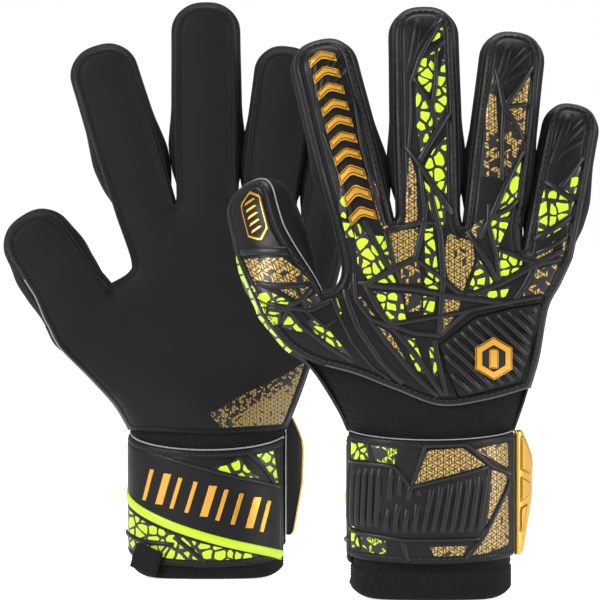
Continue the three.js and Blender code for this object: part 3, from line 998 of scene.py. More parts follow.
def foam():
    s = Shader("foam", BLACK_FOAM, 0.42, shine=0.16)
    s.bump(s.noise(900, detail=3), 0.00006, 0.4)
    s.bump(s.noise(110, detail=3), 0.0005, 0.4)
    s.roughness(s.ramp(s.noise(120), 0.3, 0.7, 0.34, 0.5))
    s.colour(s.mix_colour(s.noise(50), (0.003, 0.003, 0.0034), (0.005, 0.005, 0.0055)))
    return s.material


def rib_rubber():
    s = Shader("rib_rubber", (0.006, 0.006, 0.0068), 0.36, shine=0.25)
    s.bump(s.noise(1100, detail=3), 0.00005, 0.4)
    s.colour(s.mix_colour(s.noise(80), (0.005, 0.005, 0.0056), (0.008, 0.008, 0.0088)))
    return s.material


def lime_cells():
    """Lime blobs with black between them, smaller towards the edge of their patch."""
    s = Shader("lime_cells", LIME, 0.42)
    plan = s.plan()
    wobble = s.node("ShaderNodeTexNoise")
    wobble.inputs["Scale"].default_value = 3.0
    s.plug(wobble.inputs["Vector"], plan)
    shift = s.vector("MULTIPLY_ADD", wobble.outputs["Color"], (0.12, 0.12, 0.0), plan)
    cells = s.node("ShaderNodeTexVoronoi", voronoi_dimensions="2D", feature="DISTANCE_TO_EDGE")
    cells.inputs["Scale"].default_value = 1.9
    s.plug(cells.inputs["Vector"], shift)
    apart = s.node("ShaderNodeSeparateXYZ")
    s.plug(apart.inputs[0], plan)
    border = s.ramp(apart.outputs[2], 0.0, 0.16, 0.07, 0.0)
    centre = s.node("ShaderNodeTexVoronoi", voronoi_dimensions="2D", feature="F1")
    centre.inputs["Scale"].default_value = 1.9
    s.plug(centre.inputs["Vector"], shift)
    corners = s.math("MULTIPLY", centre.outputs["Distance"], 0.13)
    patchy = s.ramp(s.noise(1.0, plan, 1.0), 0.46, 0.66, 0.0, 0.11)
    gap = s.math("ADD", s.math("ADD", 0.028, corners), s.math("ADD", border, patchy))
    cell = s.ramp(s.math("SUBTRACT", cells.outputs["Distance"], gap), -0.012, 0.022)
    s.colour(s.mix_colour(cell, BLACK_FOAM, LIME))
    s.bump(cell, 0.0005, 0.5)
    s.bump(s.noise(900, detail=2), 0.00005, 0.3)
    return s.material


def plan_vector(angle, length):
    return (math.cos(math.radians(angle)) * length, math.sin(math.radians(angle)) * length, 0.0)


def tile_print(name, ink_colour, shown, size):
    """A print of small strokes: three to a rhomb, three rhombs to a hexagon. Some of them are left out."""
    s = Shader(name, ink_colour, 0.4, metallic=0.2)
    flat = s.vector("MULTIPLY", s.plan(), (1 / size, 1 / size, 0.0))
    half = (0.5, math.sqrt(3) / 2, 0.5)
    low = tuple(-v for v in half)
    lattices = ((0.0, 0.0, 0.0), half)
    homes = [s.vector("WRAP", s.vector("SUBTRACT", flat, move), half, low) for move in lattices]
    homes = [s.vector("MULTIPLY", home, (1.0, 1.0, 0.0)) for home in homes]
    first_is_nearer = s.math("LESS_THAN", s.vector("LENGTH", homes[0]), s.vector("LENGTH", homes[1]))
    choose = s.node("ShaderNodeMix", data_type="VECTOR")
    s.plug(choose.inputs["Factor"], first_is_nearer)
    s.plug(choose.inputs[4], homes[1])
    s.plug(choose.inputs[5], homes[0])
    local = choose.outputs[1]
    centre = s.vector("ADD", s.vector("SUBTRACT", flat, local), (0.25, 0.43, 0.5))
    centre = s.vector("SNAP", centre, (0.5, 0.866, 1.0))
    edge = 0.0
    for angle in (0, 60, 120):
        across = s.vector("DOT_PRODUCT", local, plan_vector(angle, 1.0))
        edge = s.math("MAXIMUM", edge, s.math("ABSOLUTE", across))
    rises = []
    for angle in (180, 300, 60):
        along = s.vector("DOT_PRODUCT", local, plan_vector(angle, math.sqrt(3)))
        rises.append(s.math("MULTIPLY", along, 2.0))
    rise, which = 0.0, 0.0
    for k in range(3):
        past = s.math("GREATER_THAN", rises[k], 0.0)
        here = s.math("MULTIPLY", past, s.math("LESS_THAN", rises[k - 2], 0.0))
        rise = s.math("ADD", rise, s.math("MULTIPLY", rises[k], here))
        which = s.math("ADD", which, s.math("MULTIPLY", here, 5.3 * (k + 1)))
    stroke = s.math("ABSOLUTE", s.math("SUBTRACT", s.math("FRACT", rise), 0.5))
    spoke = s.math("MINIMUM", *[s.math("ABSOLUTE", v) for v in rises[:2]])
    spoke = s.math("MINIMUM", spoke, s.math("ABSOLUTE", rises[2]))
    ink = s.math("MULTIPLY", s.ramp(stroke, 0.40, 0.28), s.ramp(edge, 0.475, 0.44))
    ink = s.math("MULTIPLY", ink, s.ramp(spoke, 0.08, 0.16))
    key = s.node("ShaderNodeCombineXYZ")
    s.plug(key.inputs[2], s.math("ADD", which, s.math("MULTIPLY", s.math("FLOOR", rise), 1.7)))
    chance = s.node("ShaderNodeTexWhiteNoise", noise_dimensions="3D")
    s.plug(chance.inputs["Vector"], s.vector("ADD", centre, key.outputs[0]))
    keep = s.math("LESS_THAN", chance.outputs["Value"], shown)
    s.colour(s.mix_colour(s.math("MULTIPLY", ink, keep), BLACK_FOAM, ink_colour))
    s.bump(s.noise(900, detail=2), 0.00005, 0.3)
    return s.material


def gold_moulded(name, colour):
    s = Shader(name, colour, 0.3, metallic=0.6, coat=0.3)
    s.bump(s.noise(500, detail=2), 0.00004, 0.3)
    s.roughness(s.ramp(s.noise(70), 0.3, 0.7, 0.26, 0.4))
    darker = tuple(v * 0.8 for v in colour)
    s.colour(s.mix_colour(s.noise(45), darker, colour))
    return s.material


def weave(name, colour, per_cm, depth, roughness=0.85):
    """A fine over-and-under weave with a little fuzz. Its raised threads are painted lighter and its hollows
    darker, as painted highlight and shade, and the fuzz varies the tone at random.
    """
    s = Shader(name, colour, roughness, sheen=0.02, shine=0.12)
    place = s.place()
    split = s.node("ShaderNodeSeparateXYZ")
    s.plug(split.inputs[0], place)
    turn = per_cm * 100 * 2 * math.pi
    level = s.math("SINE", s.math("MULTIPLY", s.math("ADD", split.outputs[0], split.outputs[1]), turn))
    upright = s.math("SINE", s.math("MULTIPLY", split.outputs[2], turn))
    knit = s.math("MULTIPLY", level, upright)
    s.bump(knit, depth, 0.8)
    s.bump(s.noise(1500, detail=3), 0.0001, 0.5)
    # painted highlight on the weave's raised threads and painted shade in its hollows, mixed with random fuzz
    # tone
    crest_highlight_and_fuzz = tuple(v * 2.2 for v in colour)
    s.colour(s.mix_colour(s.ramp(s.math("ADD", knit, s.noise(700)), 0.2, 1.4), colour, crest_highlight_and_fuzz))
    return s.material


def thread(name, colour):
    s = Shader(name, colour, 0.7, shine=0.3)
    s.bump(s.noise(2500, detail=2), 0.00005, 0.5)
    s.colour(s.mix_colour(s.noise(300), tuple(v * 0.75 for v in colour), colour))
    return s.material


def strap_rubber():
    s = Shader("strap_rubber", (0.004, 0.004, 0.0045), 0.4, shine=0.18)
    s.bump(s.noise(800, detail=3), 0.00006, 0.4)
    s.roughness(s.ramp(s.noise(100), 0.3, 0.7, 0.38, 0.52))
    s.colour(s.mix_colour(s.noise(60), (0.003, 0.003, 0.0035), (0.005, 0.005, 0.0056)))
    return s.material


def lime_band():
    s = Shader("lime_band", LIME, 0.4)
    s.bump(s.noise(800, detail=2), 0.00005, 0.3)
    s.colour(s.mix_colour(s.noise(60), tuple(v * 0.9 for v in LIME), LIME))
    return s.material


MATERIALS = {
    "latex": latex(),
    "foam": foam(),
    "rib": rib_rubber(),
    "lime": lime_cells(),
    "lime_band": lime_band(),
    "gold": tile_print("gold_print", GOLD_PRINT, 0.93, 0.52),
    "dashes": tile_print("gold_dashes", GOLD_PRINT, 0.4, 0.52),
    "lime_dashes": tile_print("lime_dashes", LIME, 0.4, 0.52),
    "palm_gold": tile_print("palm_gold", PALM_PRINT, 0.95, 0.34),
    "palm_dashes": tile_print("palm_dashes", PALM_PRINT, 0.5, 0.34),
    "gold_raised": gold_moulded("gold_raised", GOLD),
    "gold_tab": gold_moulded("gold_tab", (0.52, 0.29, 0.035)),
    "mesh": weave("gusset_mesh", (0.004, 0.004, 0.0044), 9, 0.00025),
    "knit": weave("cuff_knit", (0.0045, 0.0045, 0.005), 7, 0.0003),
    "strap": strap_rubber(),
    "piping": thread("dark_piping", (0.012, 0.012, 0.013)),
    "light_piping": thread("light_piping", (0.24, 0.245, 0.245)),
    "grey_piping": thread("grey_piping", (0.07, 0.07, 0.072)),
    "thread": thread("stitching", (0.02, 0.02, 0.022)),
    "webbing": weave("loop_webbing", (0.005, 0.005, 0.0055), 12, 0.0002, 0.8),
    "hooks": weave("hook_and_loop", (0.004, 0.004, 0.004), 14, 0.0005, 0.95),
    "fleece": weave("fleece_lining", (0.012, 0.012, 0.014), 11, 0.0003, 0.95),
}


# ---------------------------------------------------------------- pieces of a hand
class Regions(dict):
    """A part for each region, made when it is first asked for."""

    def __missing__(self, key):
        self[key] = Part()
        return self[key]


def seat_cuts(glove):
    return [resample(seat_ends(finger), 1.3) for finger in glove.fingers.values()]


def make_back(glove):
    start, end = glove.thumb_edge, glove.little_edge
    left = [(-48.5, 106.5), (-58, 110.5) if glove is RIGHT else (-58, 101), start[-1]]
    right = [*end[:-2], (45, 96.5)]
    bottom = [(45, 96.5), (25, 91), (4, 88.5), (-16, 95.5), (-34, 102.5), (-48.5, 106.5)]
    surface = HandSurface(glove, 1, left, right, bottom)
    parts = Regions()
    windows = [(kind, fit(polygon, glove)) for kind, polygon in WINDOWS]
    rings = (0.15, 0.5, 1.1, 1.8, 2.5, 3.0, 3.5, 4.0, 5.2)
    panel(parts, surface, "foam", rings, 2.4, seat_cuts(glove), windows, BORDER + 0.5, wide_below=-52)
    for line in [*RIBS, *finger_ribs()]:
        rib(parts, surface, fit(line, glove), 1.1, "rib", margin=BORDER - 0.2)
    for line in tip_creases():
        rib(parts, surface, fit(line, glove), 0.8, "foam", margin=BORDER + 0.8)
    for polygon in chevrons():
        raised(parts, surface, fit(polygon, glove), 1.9, 1.0, "gold_raised")
    make_knuckle_pad(parts, surface, glove)
    make_badge(parts, surface, glove)
    for name, run in surface.runs:
        line = inset(surface, run, 2.2)
        if len(line) > 2:
            stitches(parts[name], surface, line, "thread")
        edge = "light_piping" if name == "thumb" else "piping"
        tube(parts[name], surface.at(run, -0.9), 0.5, edge, sides=6)
    tube(parts["hand"], surface.at(inset(surface, surface.bottom, 0.6), -0.1), 0.5, "grey_piping", sides=6)
    stitches(parts["hand"], surface, inset(surface, surface.bottom, 2.6), "thread")
    return surface, parts


def inset(surface, run, distance):
    """A run of the outline moved inwards, where there is room."""
    moved = run + right_of(np.gradient(run, axis=0)) * distance
    return moved[surface.edge_distance(moved) > distance * 0.9]


def make_knuckle_pad(parts, surface, glove):
    pad = fit(PAD, glove)
    raised(parts, surface, pad, 1.0, 0.9, "foam")
    middle = pad.mean(0)
    direction = np.array((0.72, -0.69))
    across = np.array((0.69, 0.72))
    for k in range(-9, 10):
        line = middle + across * k * 4.3 + np.outer(np.linspace(-40, 40, 161), direction)
        shrunk = middle + (pad - middle) * 0.93
        kept = line[inside(line, shrunk)]
        if len(kept) > 6:
            bar = np.column_stack((kept, np.full(len(kept), 3.7)))
            rib(parts, surface, bar, 2.5, "rib", margin=BORDER - 0.2)
    emblem = fit(EMBLEM, glove)
    raised(parts, surface, emblem, 3.2, 0.8, "gold_raised")
    raised(parts, surface, emblem.mean(0) + (emblem - emblem.mean(0)) * 0.62, 3.7, 0.5, "rib")
    slot = emblem.mean(0) + np.array([(-2.2, -4.5), (-2.2, 4.5), (2.2, 4.5), (2.2, -4.5)])
    raised(parts, surface, slot, 4.3, 0.6, "gold_raised")


def make_badge(parts, surface, glove):
    """The thumb's long six-sided badge: a thin frame round plain bars."""
    shape = np.array([(-2.6, 28), (-2.6, 44.6), (2.8, 49.2), (8.2, 44.6), (8.2, 28), (2.8, 23.4)])
    middle = shape.mean(0)
    for scale, height, look in ((1.0, 0.5, "gold_raised"), (0.9, 0.6, "foam")):
        polygon = middle + (shape - middle) * scale
        raised(parts, surface, fit(on_finger("thumb", *polygon), glove), height, 0.2, look)
    for k in range(5):
        z = middle[1] - 7 + k * 3.5
        bar = [(-0.2, z - 0.6), (-0.2, z + 0.6), (5.8, z + 1.6), (5.8, z + 0.4)]
        raised(parts, surface, fit(on_finger("thumb", *bar), glove), 0.9, 0.15, "gold_raised")


def make_palm(glove):
    left = glove.thumb_edge
    right = glove.little_edge
    low = left[0][1]
    bottom = [right[-1], (20, low - 1.2), (0, low - 1.8), (-20, low - 1.2), left[0]]
    surface = HandSurface(glove, -1, left, right, bottom)
    parts = Regions()
    dense = [(12, 73.4), (37, 74.6), (43, 90), (47, 101), (37, 92), (22, 84)]
    sparse = [(1, 80), (7, 73), *dense[:1], *dense[:-4:-1], (48, 105), (36, 97.5), (19, 90), (10, 84.5)]
    windows = [("palm_gold", np.array(dense, float)), ("palm_dashes", np.array(sparse, float))]
    rings = (0.15, 0.5, 1.1, 1.8, 2.1, 2.4, 2.8, 3.4, 4.6, 6.2)
    panel(parts, surface, "latex", rings, 2.6, seat_cuts(glove), windows, seam_inset=PALM_SEAM + 0.5)
    for name, run in surface.runs:
        tube(parts[name], surface.at(run, -0.9), 0.5, "piping", sides=6)
        outer = run[(outer_thumb(glove, name, run) > 0.3) | ((run[:, 0] < -38) & (run[:, 1] < 110))]
        if len(outer) > 2:
            tube(parts[name], surface.at(outer, -0.5), 0.55, "light_piping", sides=6)
        line = inset(surface, run, PALM_SEAM)
        if len(line) > 2:
            stitches(parts[name], surface, line, "thread", spacing=2.6, length=1.7, radius=0.2, height=0.0)
    return surface, parts


def outer_thumb(glove, name, run):
    """For each point of a run of the outline, how far it belongs to the thumb's outer side, from 0 to 1."""
    if name == "thumb":
        across, rise = glove.fingers["thumb"].local(run)
        return (across < 0) * (1 - smoothstep(10, 34, rise))
    return (run[:, 0] < -40) * (run[:, 1] < 136) * smoothstep(92, 108, run[:, 1])


def make_walls(glove, back, palm):
    """The stretch side walls between the palm and the backhand, fuller half way up than at their seams."""
    parts = Regions()
    for name, run in palm.runs:
        outward = -right_of(np.gradient(run, axis=0))
        finger = glove.fingers.get(name)
        if finger:
            across, rise = finger.local(run)
            fullness = GUSSET_BULGE * smoothstep(2, 26, rise)
            fullness *= mix(1, 0.35, smoothstep(finger.length - 12, finger.length, rise))
            fullness += 1.8 * (smoothstep(2, 14, rise) - smoothstep(20, 44, rise))
        else:
            fullness = mix(-2.0, 0.3, smoothstep(104, 116, run[:, 1]))
        outer = outer_thumb(glove, name, run)
        fullness += 2.0 * outer
        regions = np.full(len(run), name)
        depths = [side.facing * (side.depth(run, regions) - WALL_INSET) for side in (palm, back)]
        points = []
        for t in np.linspace(0, 1, WALL_ROWS):
            out = -1.0 + (fullness + 1.0) * math.sin(math.pi * t) ** 0.6
            points.append(bend(glove, regions, run + outward * out[:, None], mix(*depths, t)))
        faces = sheet_faces(WALL_ROWS, len(run))
        looks = np.full(len(faces), "mesh", dtype="<U16")
        row, column = np.divmod(np.arange(len(faces)), len(run) - 1)
        if name == "thumb":
            lime = (across < 0) & (rise < finger.length * 0.6)
            looks[(row > 4) & lime[column]] = "lime"
        if name == "hand":
            lime = (outer > 0.3) & (run[:, 1] > 113)
            looks[(row > 3) & lime[column]] = "lime"
        parts[name].add(np.vstack(points), faces, looks)
    return parts


# ---------------------------------------------------------------- the wrist
def cuff_point(angle, out):
    return np.column_stack(((CUFF_HALF_WIDTH + out) * np.cos(angle), (CUFF_HALF_DEPTH + out) * np.sin(angle)))


STRAP_RINGS = (0.15, 0.5, 1.0, 1.8, 2.6, 3.2, 3.8, 5.0)
STRAP_SEAM = 3.2
STRAP_EDGE_RADIUS = 1.1
BANDAGE_INSIDE = (0.93, 0.9, 1)  # the inner face's size, of the outer one
TAB_OUTLINE = [
    *[(0, 20), (0, 77), (3.0, 77.4), (6.6, 72), (10.6, 65.6)],
    *[(11.4, 61.5), (10.6, 46), (7, 33), (4.2, 22), (2.4, 20)],
]
TAB_EDGE_RADIUS = 1.2
TAB_BOW = 0.03  # how far the tab curves back towards the wrist, per square millimetre


class BandSurface(Surface):
    """A band round the cuff. Its plan is the way round, from the middle of the panel, and the height."""

    thickness = 2.4

    def __init__(self, middle, half_angle, out, low, high, low_dip, high_dip):
        self.facing = 1 if middle > 0 else -1
        self.middle = math.radians(middle)
        self.out = out
        self.sense = -self.facing
        angles = np.linspace(-math.radians(half_angle), math.radians(half_angle), 721)
        ring = cuff_point(self.middle + self.sense * angles, out)
        run = np.concatenate(([0], np.cumsum(np.hypot(*np.diff(ring, axis=0).T))))
        self.angles = angles
        self.run = run - np.interp(0, angles, run)
        s = np.linspace(self.run[0], self.run[-1], 70)
        middleness = np.abs(np.sin(self.middle + self.sense * np.interp(s, self.run, angles)))
        bottom = np.column_stack((s, low - low_dip * middleness))
        top = np.column_stack((s, high - high_dip * middleness))
        outline = np.vstack((top, bottom[::-1]))
        super().__init__(resample(closed(outline), 1.3)[:-1])
        self.top = resample(top, 1.3)
        self.bottom = resample(bottom, 1.3)

    def profile(self, d):
        height = 0.9 * (1 - np.exp(-d / 3.0)) - 0.9
        return height - rounding(d, STRAP_EDGE_RADIUS) - 0.35 * seam_groove(d, STRAP_SEAM)

    def shape(self, points, height):
        angle = self.middle + self.sense * np.interp(points[:, 0], self.run, self.angles)
        ring = cuff_point(angle, self.out + height)
        return np.column_stack((ring, points[:, 1]))


def make_band(glove, surface, windows, ribs, piping):
    """A strap panel with windows, ribs, piping and stitching. Their heights leave out the strap's rise."""
    parts = Regions()
    windows = [(kind, np.array(polygon) + (0, glove.strap_rise)) for kind, polygon in windows]
    panel(parts, surface, "strap", STRAP_RINGS, 2.2, (), windows, seam_inset=3.8)
    for height, spacing, lines in ribs:
        for line in lines:
            rib(parts, surface, np.array(line) + (0, glove.strap_rise, 0), height, "rib", spacing)
    tube(parts["all"], surface.at(surface.top, 0.1), piping, "light_piping", sides=6)
    for edge in (surface.top - (0, 2.4), surface.bottom + (0, 2.4)):
        stitches(parts["all"], surface, edge, "thread", spacing=2.8)
    return parts


def make_strap_base(glove):
    rise = glove.strap_rise
    surface = BandSurface(-102, 87, 3.1, 13 + rise, 71 + rise, 6.6, 7.8)
    windows = [
        (
            "lime",
            [(-52, 40), (-44, 37), (-22, 27.5), (4, 18.6), (34, 12), (28, 9), (0, 6), (-30, 8), (-52, 14)],
        ),
        ("lime", [(7, 54), (18, 56), (24, 60.5), (28, 54), (34, 49.5), (22, 50.5)]),
        ("lime", [(31, 64.5), (42, 66.5), (46, 47), (40, 49)]),
    ]
    lines = [
        [(-8, 21.5, 2.6), (2, 13.5, 2.8), (9, 7, 2.4)],
        [(-46, 24, 2.4), (-26, 19, 2.6), (-8, 17.5, 2.4)],
        [(26, 64, 2.4), (36, 55, 2.6), (44, 46, 2.4)],
        [(-14, 60, 2.2), (8, 54, 2.6), (30, 48.4, 2.4), (48, 45, 2.2)],
    ]
    parts = make_band(glove, surface, windows, [(1.1, 2.0, lines)], 0.55)
    for polygon in strap_strokes(rise):
        raised(parts, surface, polygon, 0.7, 0.3, "gold_raised")
    stripe = curve_through([(-58, 55), (-40, 40.5), (-14, 28.5), (14, 19.5), (44, 13), (58, 11)], 2.0)
    rib(parts, surface, np.column_stack((stripe + (0, rise), np.full(len(stripe), 4.6))), 0.7, "lime_band")
    attach(f"{glove.side}_strap_sewn_part", glove, "hand", parts["all"], ["strap_base"])


def strap_strokes(rise):
    """Plain slanted gold strokes in a row that runs down to the right."""
    out = []
    for k in range(9):
        x = -25 + k * 7.4
        z = 47 - k * 1.9 + rise
        wide = 3.8 if k % 3 == 1 else 2.0
        lean = 4.6
        out.append(np.array([(x, z - 8), (x + wide, z - 8.4), (x + wide + lean, z + 6.6), (x + lean, z + 7)]))
    return out


def attach(name, glove, region, part, nodes):
    """Makes a piece, joins it to its body or, for a finger's piece, bakes its place into its points, and
    hides its side's nodes.
    """
    obj = make_object(name, glove, part, MATERIALS)
    side = glove.side
    if region in glove.fingers:
        finger = glove.fingers[region]
        seat = np.array((finger.seat[0], 0.0, finger.seat[1]))
        along = np.array((finger.along[0], 0.0, finger.along[1]))
        start = tuple(glove.world(seat))
        end = tuple(glove.world(seat + along * BEND_LENGTH))
        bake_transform(obj)
    else:
        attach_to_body(obj, f"{side}_{region}")
    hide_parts(*[f"{side}_{node}" for node in nodes])
    return obj


def make_glove(glove):
    side = glove.side
    back_surface, back = make_back(glove)
    palm_surface, palm = make_palm(glove)
    walls = make_walls(glove, back_surface, palm_surface)
    for region, part in back.items():
        nodes = ["backhand", "emblem"] if region == "hand" else [f"{region}_back"]
        obj = attach(f"{side}_{region}_back_panel", glove, region, part, nodes)
    for region, part in palm.items():
        nodes = ["palm"] if region == "hand" else [f"{region}_palm"]
        obj = attach(f"{side}_{region}_palm_panel", glove, region, part, nodes)
    for region, part in walls.items():
        nodes = [f"{region}_gusset"]
        if region == "hand":
            nodes = ["thumb_side_gusset", "thumb_web", "little_side_gusset"]
        attach(f"{side}_{region}_side_wall", glove, region, part, nodes)
    make_bandage(glove, back_surface)
    make_strap_base(glove)
    make_flap(glove)
    make_tab(glove)
    make_loop(glove)


def make_bandage(glove, back_surface):
    """The knitted sleeve: an oval at the cuff that widens under the hand's panels, with a thicker hem."""
    part = Part()
    columns = 120
    heights = np.concatenate((np.linspace(0, 14, 43), np.linspace(16, 60, 20), np.linspace(62, 113, 35)))
    angles = np.linspace(0, 2 * math.pi, columns, endpoint=False)
    left = back_surface.left_edge
    right = back_surface.right_edge
    rows = []
    for z in heights:
        flare = smoothstep(60, glove.thumb_edge[0][1] + 1, z)
        low, high = np.interp(z, left[:, 1], left[:, 0]), np.interp(z, right[:, 1], right[:, 0])
        middle, half = (low + high) / 2 * flare, mix(CUFF_HALF_WIDTH, (high - low) / 2 - 0.3, flare)
        hem = 0.9 * smoothstep(0, 1.2, z) - 0.9 * smoothstep(12.5, 13.5, z)
        hem += 0.16 * math.sin(2 * math.pi * z / 1.6) * (1 - smoothstep(12, 14, z))
        lift = 4.5 * np.cos(angles) ** 8 * (1 - smoothstep(0, 30, z))
        x = middle + (half + hem) * np.cos(angles)
        oval = (CUFF_HALF_DEPTH + hem) * np.sin(angles)
        plan = np.column_stack((x, np.full(columns, z)))
        squarish = np.sign(np.sin(angles)) * np.abs(np.sin(angles)) ** 0.35
        boxy = (back_surface.hand_depth(plan) - 2.6) * squarish
        y = mix(oval, boxy, smoothstep(60, glove.thumb_edge[0][1] + 4, z))
        rows.append(np.column_stack((x, y, z + lift)))
    faces = sleeve_faces(len(heights), columns)
    outer = np.vstack(rows)
    middle = outer.reshape(len(heights), columns, 3).mean(1, keepdims=True)
    inner = middle + (outer.reshape(len(heights), columns, 3) - middle) * BANDAGE_INSIDE
    part.add(outer, faces, "knit")
    part.add(inner.reshape(-1, 3), [face[::-1] for face in faces], "fleece")
    rim = [(k, len(outer) + k, len(outer) + (k + 1) % columns, (k + 1) % columns) for k in range(columns)]
    part.faces += rim
    part.looks += ["knit"] * columns
    attach(f"{glove.side}_bandage", glove, "hand", part, ["wrist_bandage"])


def strap_bars():
    """The upright bars of the strap's middle: foot and head positions round the wrist, and heights."""
    out = []
    for k in range(6):
        x = -43 + k * 3.7
        out.append((x - 1.5, x, 29.5, 56))
    for k in range(4):
        x = -20.5 + k * 4.5
        waist = 39 + 2.4 * (k % 2)
        out.append((x - 1.2, x + 0.4, 27, waist - 1.5))
        out.append((x + 0.6, x + 2, waist + 2.5, (56, 54, 50, 45.5)[k]))
    for k in range(7):
        x = -2.5 + k * 4.3
        out.append((x - 1.5, x + 2.5, 27, 47 + 1.1 * k))
    return out


def make_flap(glove):
    rise = glove.strap_rise
    surface = BandSurface(90, 72, 5.0, 17.5 + rise, 74.5 + rise, 5.0, 5.4)
    windows = [
        ("gold", [(-8, 49), (-2, 64.5), (14, 65.5), (25.5, 57.5)]),
        ("gold", [(19.5, 64.5), (38, 68.5), (38.5, 56)]),
        ("gold", [(28.5, 55.5), (37, 53), (37.5, 49.5), (31, 39), (25.5, 28.5), (27.5, 41)]),
        ("gold", [(38, 46.5), (39, 21.5), (17, 14.5), (26, 26.5)]),
        ("gold", [(-1, 20.5), (16.5, 21), (13, 14.5), (2, 14.5)]),
        ("lime", [(-46, 71), (-33.5, 69), (-29.5, 60), (-46, 60)]),
        ("lime_dashes", [(-29, 66.5), (-16, 65), (-17, 58), (-27, 59.5)]),
        ("lime", [(-47, 32), (-38, 29), (-35.5, 20), (-47, 19.5)]),
        ("lime_dashes", [(-34.5, 25.5), (-21, 23), (-22, 16), (-34.5, 18)]),
    ]
    bars = []
    for foot, head, low, high in strap_bars():
        bars.append([(foot, low, 3.1), (mix(foot, head, 0.5), mix(low, high, 0.5), 3.3), (head, high, 3.1)])
    frames = [
        [(-44, 59.5, 2.2), (-17, 57, 2.4), (-9.5, 47.5, 2.6), (27.4, 57, 2.4)],
        [(-9.5, 47.5, 2.2), (-3, 66.5, 2.4), (16, 67, 2.4), (28, 57, 2.4), (40, 53.5, 2.2)],
        [(40, 50.5, 2.4), (31.5, 37.5, 2.6), (24, 25, 2.6), (14.5, 13, 2.2)],
        [(26.6, 55, 2.2), (25.5, 40, 2.2), (23.4, 27, 2.2)],
        [(-44, 29, 2.2), (-36, 26.6, 2.4), (-12, 23.4, 2.4), (24, 24, 2.2)],
        [(-13.5, 23, 2.4), (-10.5, 12, 2.2)],
        [(-31, 67, 1.8), (-28, 58, 1.8)],
    ]
    parts = make_band(glove, surface, windows, [(1.3, 1.4, bars), (1.2, 2.0, frames)], 0.38)
    attach(f"{glove.side}_strap_free_part", glove, "flap", parts["all"], ["strap_flap"])


class TabSurface(Surface):
    """The pull tab's outer face. Its plan is the way out from the strap's end, and the height."""

    thickness = 2.6

    def __init__(self, root, turn):
        self.facing = 1
        self.root = root
        angle = math.radians(turn)
        self.along = np.array((math.cos(angle), math.sin(angle)))
        self.away = np.array((-math.sin(angle), math.cos(angle)))
        super().__init__(resample(closed(TAB_OUTLINE), 1.0)[:-1])

    def profile(self, d):
        return -rounding(d, TAB_EDGE_RADIUS)

    def shape(self, points, height):
        flat = self.root + np.outer(points[:, 0], self.along)
        flat = flat + self.away * (height - TAB_BOW * points[:, 0] ** 2)[:, None]
        return np.column_stack((flat, points[:, 1]))


def make_tab(glove):
    root = cuff_point(np.radians([18]), 5.0)[0] + (0.35, 0)
    surface = TabSurface(root, -30)
    parts = Regions()
    panel(parts, surface, "gold_tab", (0.15, 0.5, 1.0), 1.6, under="grey_piping")
    for polygon in (
        [(1.8, 59), (1.8, 74.6), (3.2, 74.6), (8.9, 65.4), (9.4, 62), (8.4, 56.2)],
        [(1.8, 44.2), (1.8, 56), (8.4, 53.2), (8.2, 47.4)],
        [(1.4, 30.4), (1.6, 41.6), (6.4, 43.6), (3.0, 30.6)],
    ):
        polygon = np.array(polygon, float)
        raised(parts, surface, polygon, 0.8, 0.7, "gold_tab", sunk=1.0)
    attach(f"{glove.side}_tab", glove, "tab", parts["all"], ["pull_tab"])


def make_loop(glove):
    """The pull loop: webbing folded in two and sewn flat on the strap, in the place of its CAD solid."""
    width, length, gap, thick = 14.0, 12.6, 0.5, 1.2
    lean, angle, top = math.radians(20), math.radians(-132), 15
    outer, inner = gap / 2 + thick, gap / 2
    turn = np.linspace(0, math.pi, 9)
    round_fold = np.column_stack((np.cos(turn), -np.sin(turn)))
    fold = np.array((0, outer - length))
    section = [(outer, 0.0), *(fold + round_fold * outer), (-outer, 0.0), (-inner, 0.0)]
    section += [*(fold + round_fold[::-1] * inner), (inner, 0.0), (outer, 0.0)]
    section = resample(section, 0.9)[:-1]
    root = cuff_point(np.array([angle]), 5.25)[0]
    before, after = cuff_point(angle + np.array((-0.05, 0.05)), 5.0)
    tangent = (after - before) / np.hypot(*(after - before))
    normal = np.array((-tangent[1], tangent[0]))
    rows = []
    for x in np.linspace(width / 2, -width / 2, 15):
        along = x * math.cos(lean) + section[:, 1] * math.sin(lean)
        z = top - x * math.sin(lean) + section[:, 1] * math.cos(lean)
        rows.append(np.column_stack((root + np.outer(along, tangent) + np.outer(section[:, 0], normal), z)))
    faces = sleeve_faces(len(rows), len(section))
    end = tuple(range(len(section)))
    faces += [end[::-1], tuple(k + (len(rows) - 1) * len(section) for k in end)]
    part = Part()
    part.add(np.vstack(rows), faces, "webbing")
    attach(f"{glove.side}_loop_webbing", glove, "loop", part, ["pull_loop"])


def paint_cad_nodes():
    """The hidden soft pieces that keep their CAD solids get their own materials."""
    looks = {"palm_lining": "fleece", "back_lining": "fleece", "loop_patch": "hooks", "hook_patch": "hooks"}
    for glove in (LEFT, RIGHT):
        for node, look in looks.items():
            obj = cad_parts[f"{glove.side}_{node}"]
            for slot in obj.material_slots:
                slot.link = "OBJECT"
                slot.material = MATERIALS[look]


# ---------------------------------------------------------------- the set
def make_camera():
    data = bpy.data.cameras.new("camera")
    data.lens = 400
    data.clip_end = 100
    camera = bpy.data.objects.new("camera", data)
    bpy.context.scene.collection.objects.link(camera)
    aim = Vector((0.0017, 0.0, 0.1355))
    elevation = math.radians(0.7)
    distance = 3.148
    camera.location = aim + Vector((0, -math.cos(elevation), math.sin(elevation))) * distance
    camera.rotation_euler = (math.pi / 2 - elevation, 0, 0)
    bpy.context.scene.camera = camera


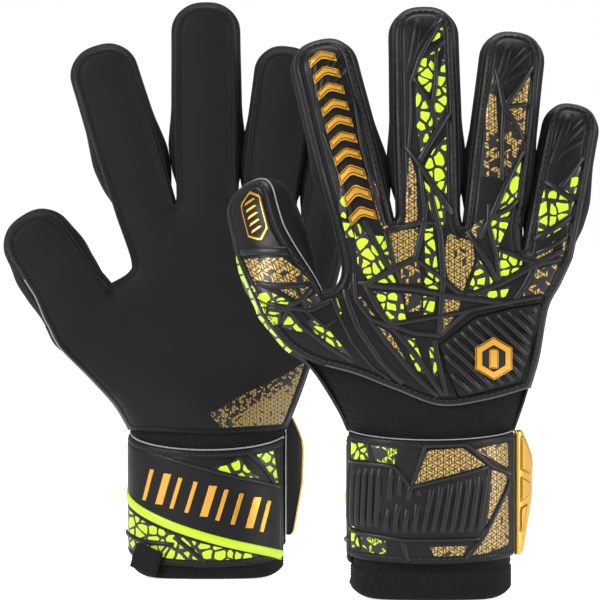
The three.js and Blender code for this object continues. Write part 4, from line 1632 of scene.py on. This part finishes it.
def make_floor():
    mesh = bpy.data.meshes.new("floor")
    reach = 30.0
    level = -0.0004
    corners = [(-reach, -reach), (reach, -reach), (reach, reach), (-reach, reach)]
    mesh.from_pydata([(x, y, level) for x, y in corners], [], [(0, 1, 2, 3)])
    floor = bpy.data.objects.new("floor", mesh)
    bpy.context.scene.collection.objects.link(floor)
    s = Shader("floor", (0.8, 0.8, 0.8), 0.9)
    s.bsdf.inputs["Emission Color"].default_value = (1, 1, 1, 1)
    s.bsdf.inputs["Emission Strength"].default_value = 0.75
    s.bump(s.noise(300), 0.0001, 0.1)
    mesh.materials.append(s.material)


def add_light(name, place, target, size, power):
    data = bpy.data.lights.new(name, "AREA")
    data.shape = "RECTANGLE"
    data.size, data.size_y = size
    data.energy = power
    light = bpy.data.objects.new(name, data)
    light.location = place
    light.rotation_euler = (Vector(target) - Vector(place)).to_track_quat("-Z", "Y").to_euler()
    bpy.context.scene.collection.objects.link(light)


def make_lights():
    world = bpy.data.worlds.new("world")
    bpy.context.scene.world = world
    world.use_nodes = True
    tree = world.node_tree
    background = tree.nodes["Background"]
    background.inputs["Color"].default_value = (1, 1, 1, 1)
    direction = tree.nodes.new("ShaderNodeTexCoord")
    split = tree.nodes.new("ShaderNodeSeparateXYZ")
    fall = tree.nodes.new("ShaderNodeMapRange")
    for key, number in (("From Min", 0.25), ("From Max", 0.7), ("To Min", 1.0), ("To Max", 0.3)):
        fall.inputs[key].default_value = number
    tree.links.new(direction.outputs["Generated"], split.inputs[0])
    tree.links.new(split.outputs[2], fall.inputs["Value"])
    tree.links.new(fall.outputs["Result"], background.inputs["Strength"])
    add_light("key", (-1.1, -1.0, 1.0), (0, 0, 0.16), (0.5, 0.9), 26)
    add_light("side", (1.3, -0.7, 0.5), (0, 0, 0.14), (0.4, 1.0), 13)
    add_light("top", (0.0, 0.3, 1.5), (0, 0, 0.1), (1.0, 0.6), 16)


make_camera()
for each in (LEFT, RIGHT):
    make_glove(each)
paint_cad_nodes()
make_floor()
make_lights()
bpy.context.scene.view_settings.view_transform = "Standard"
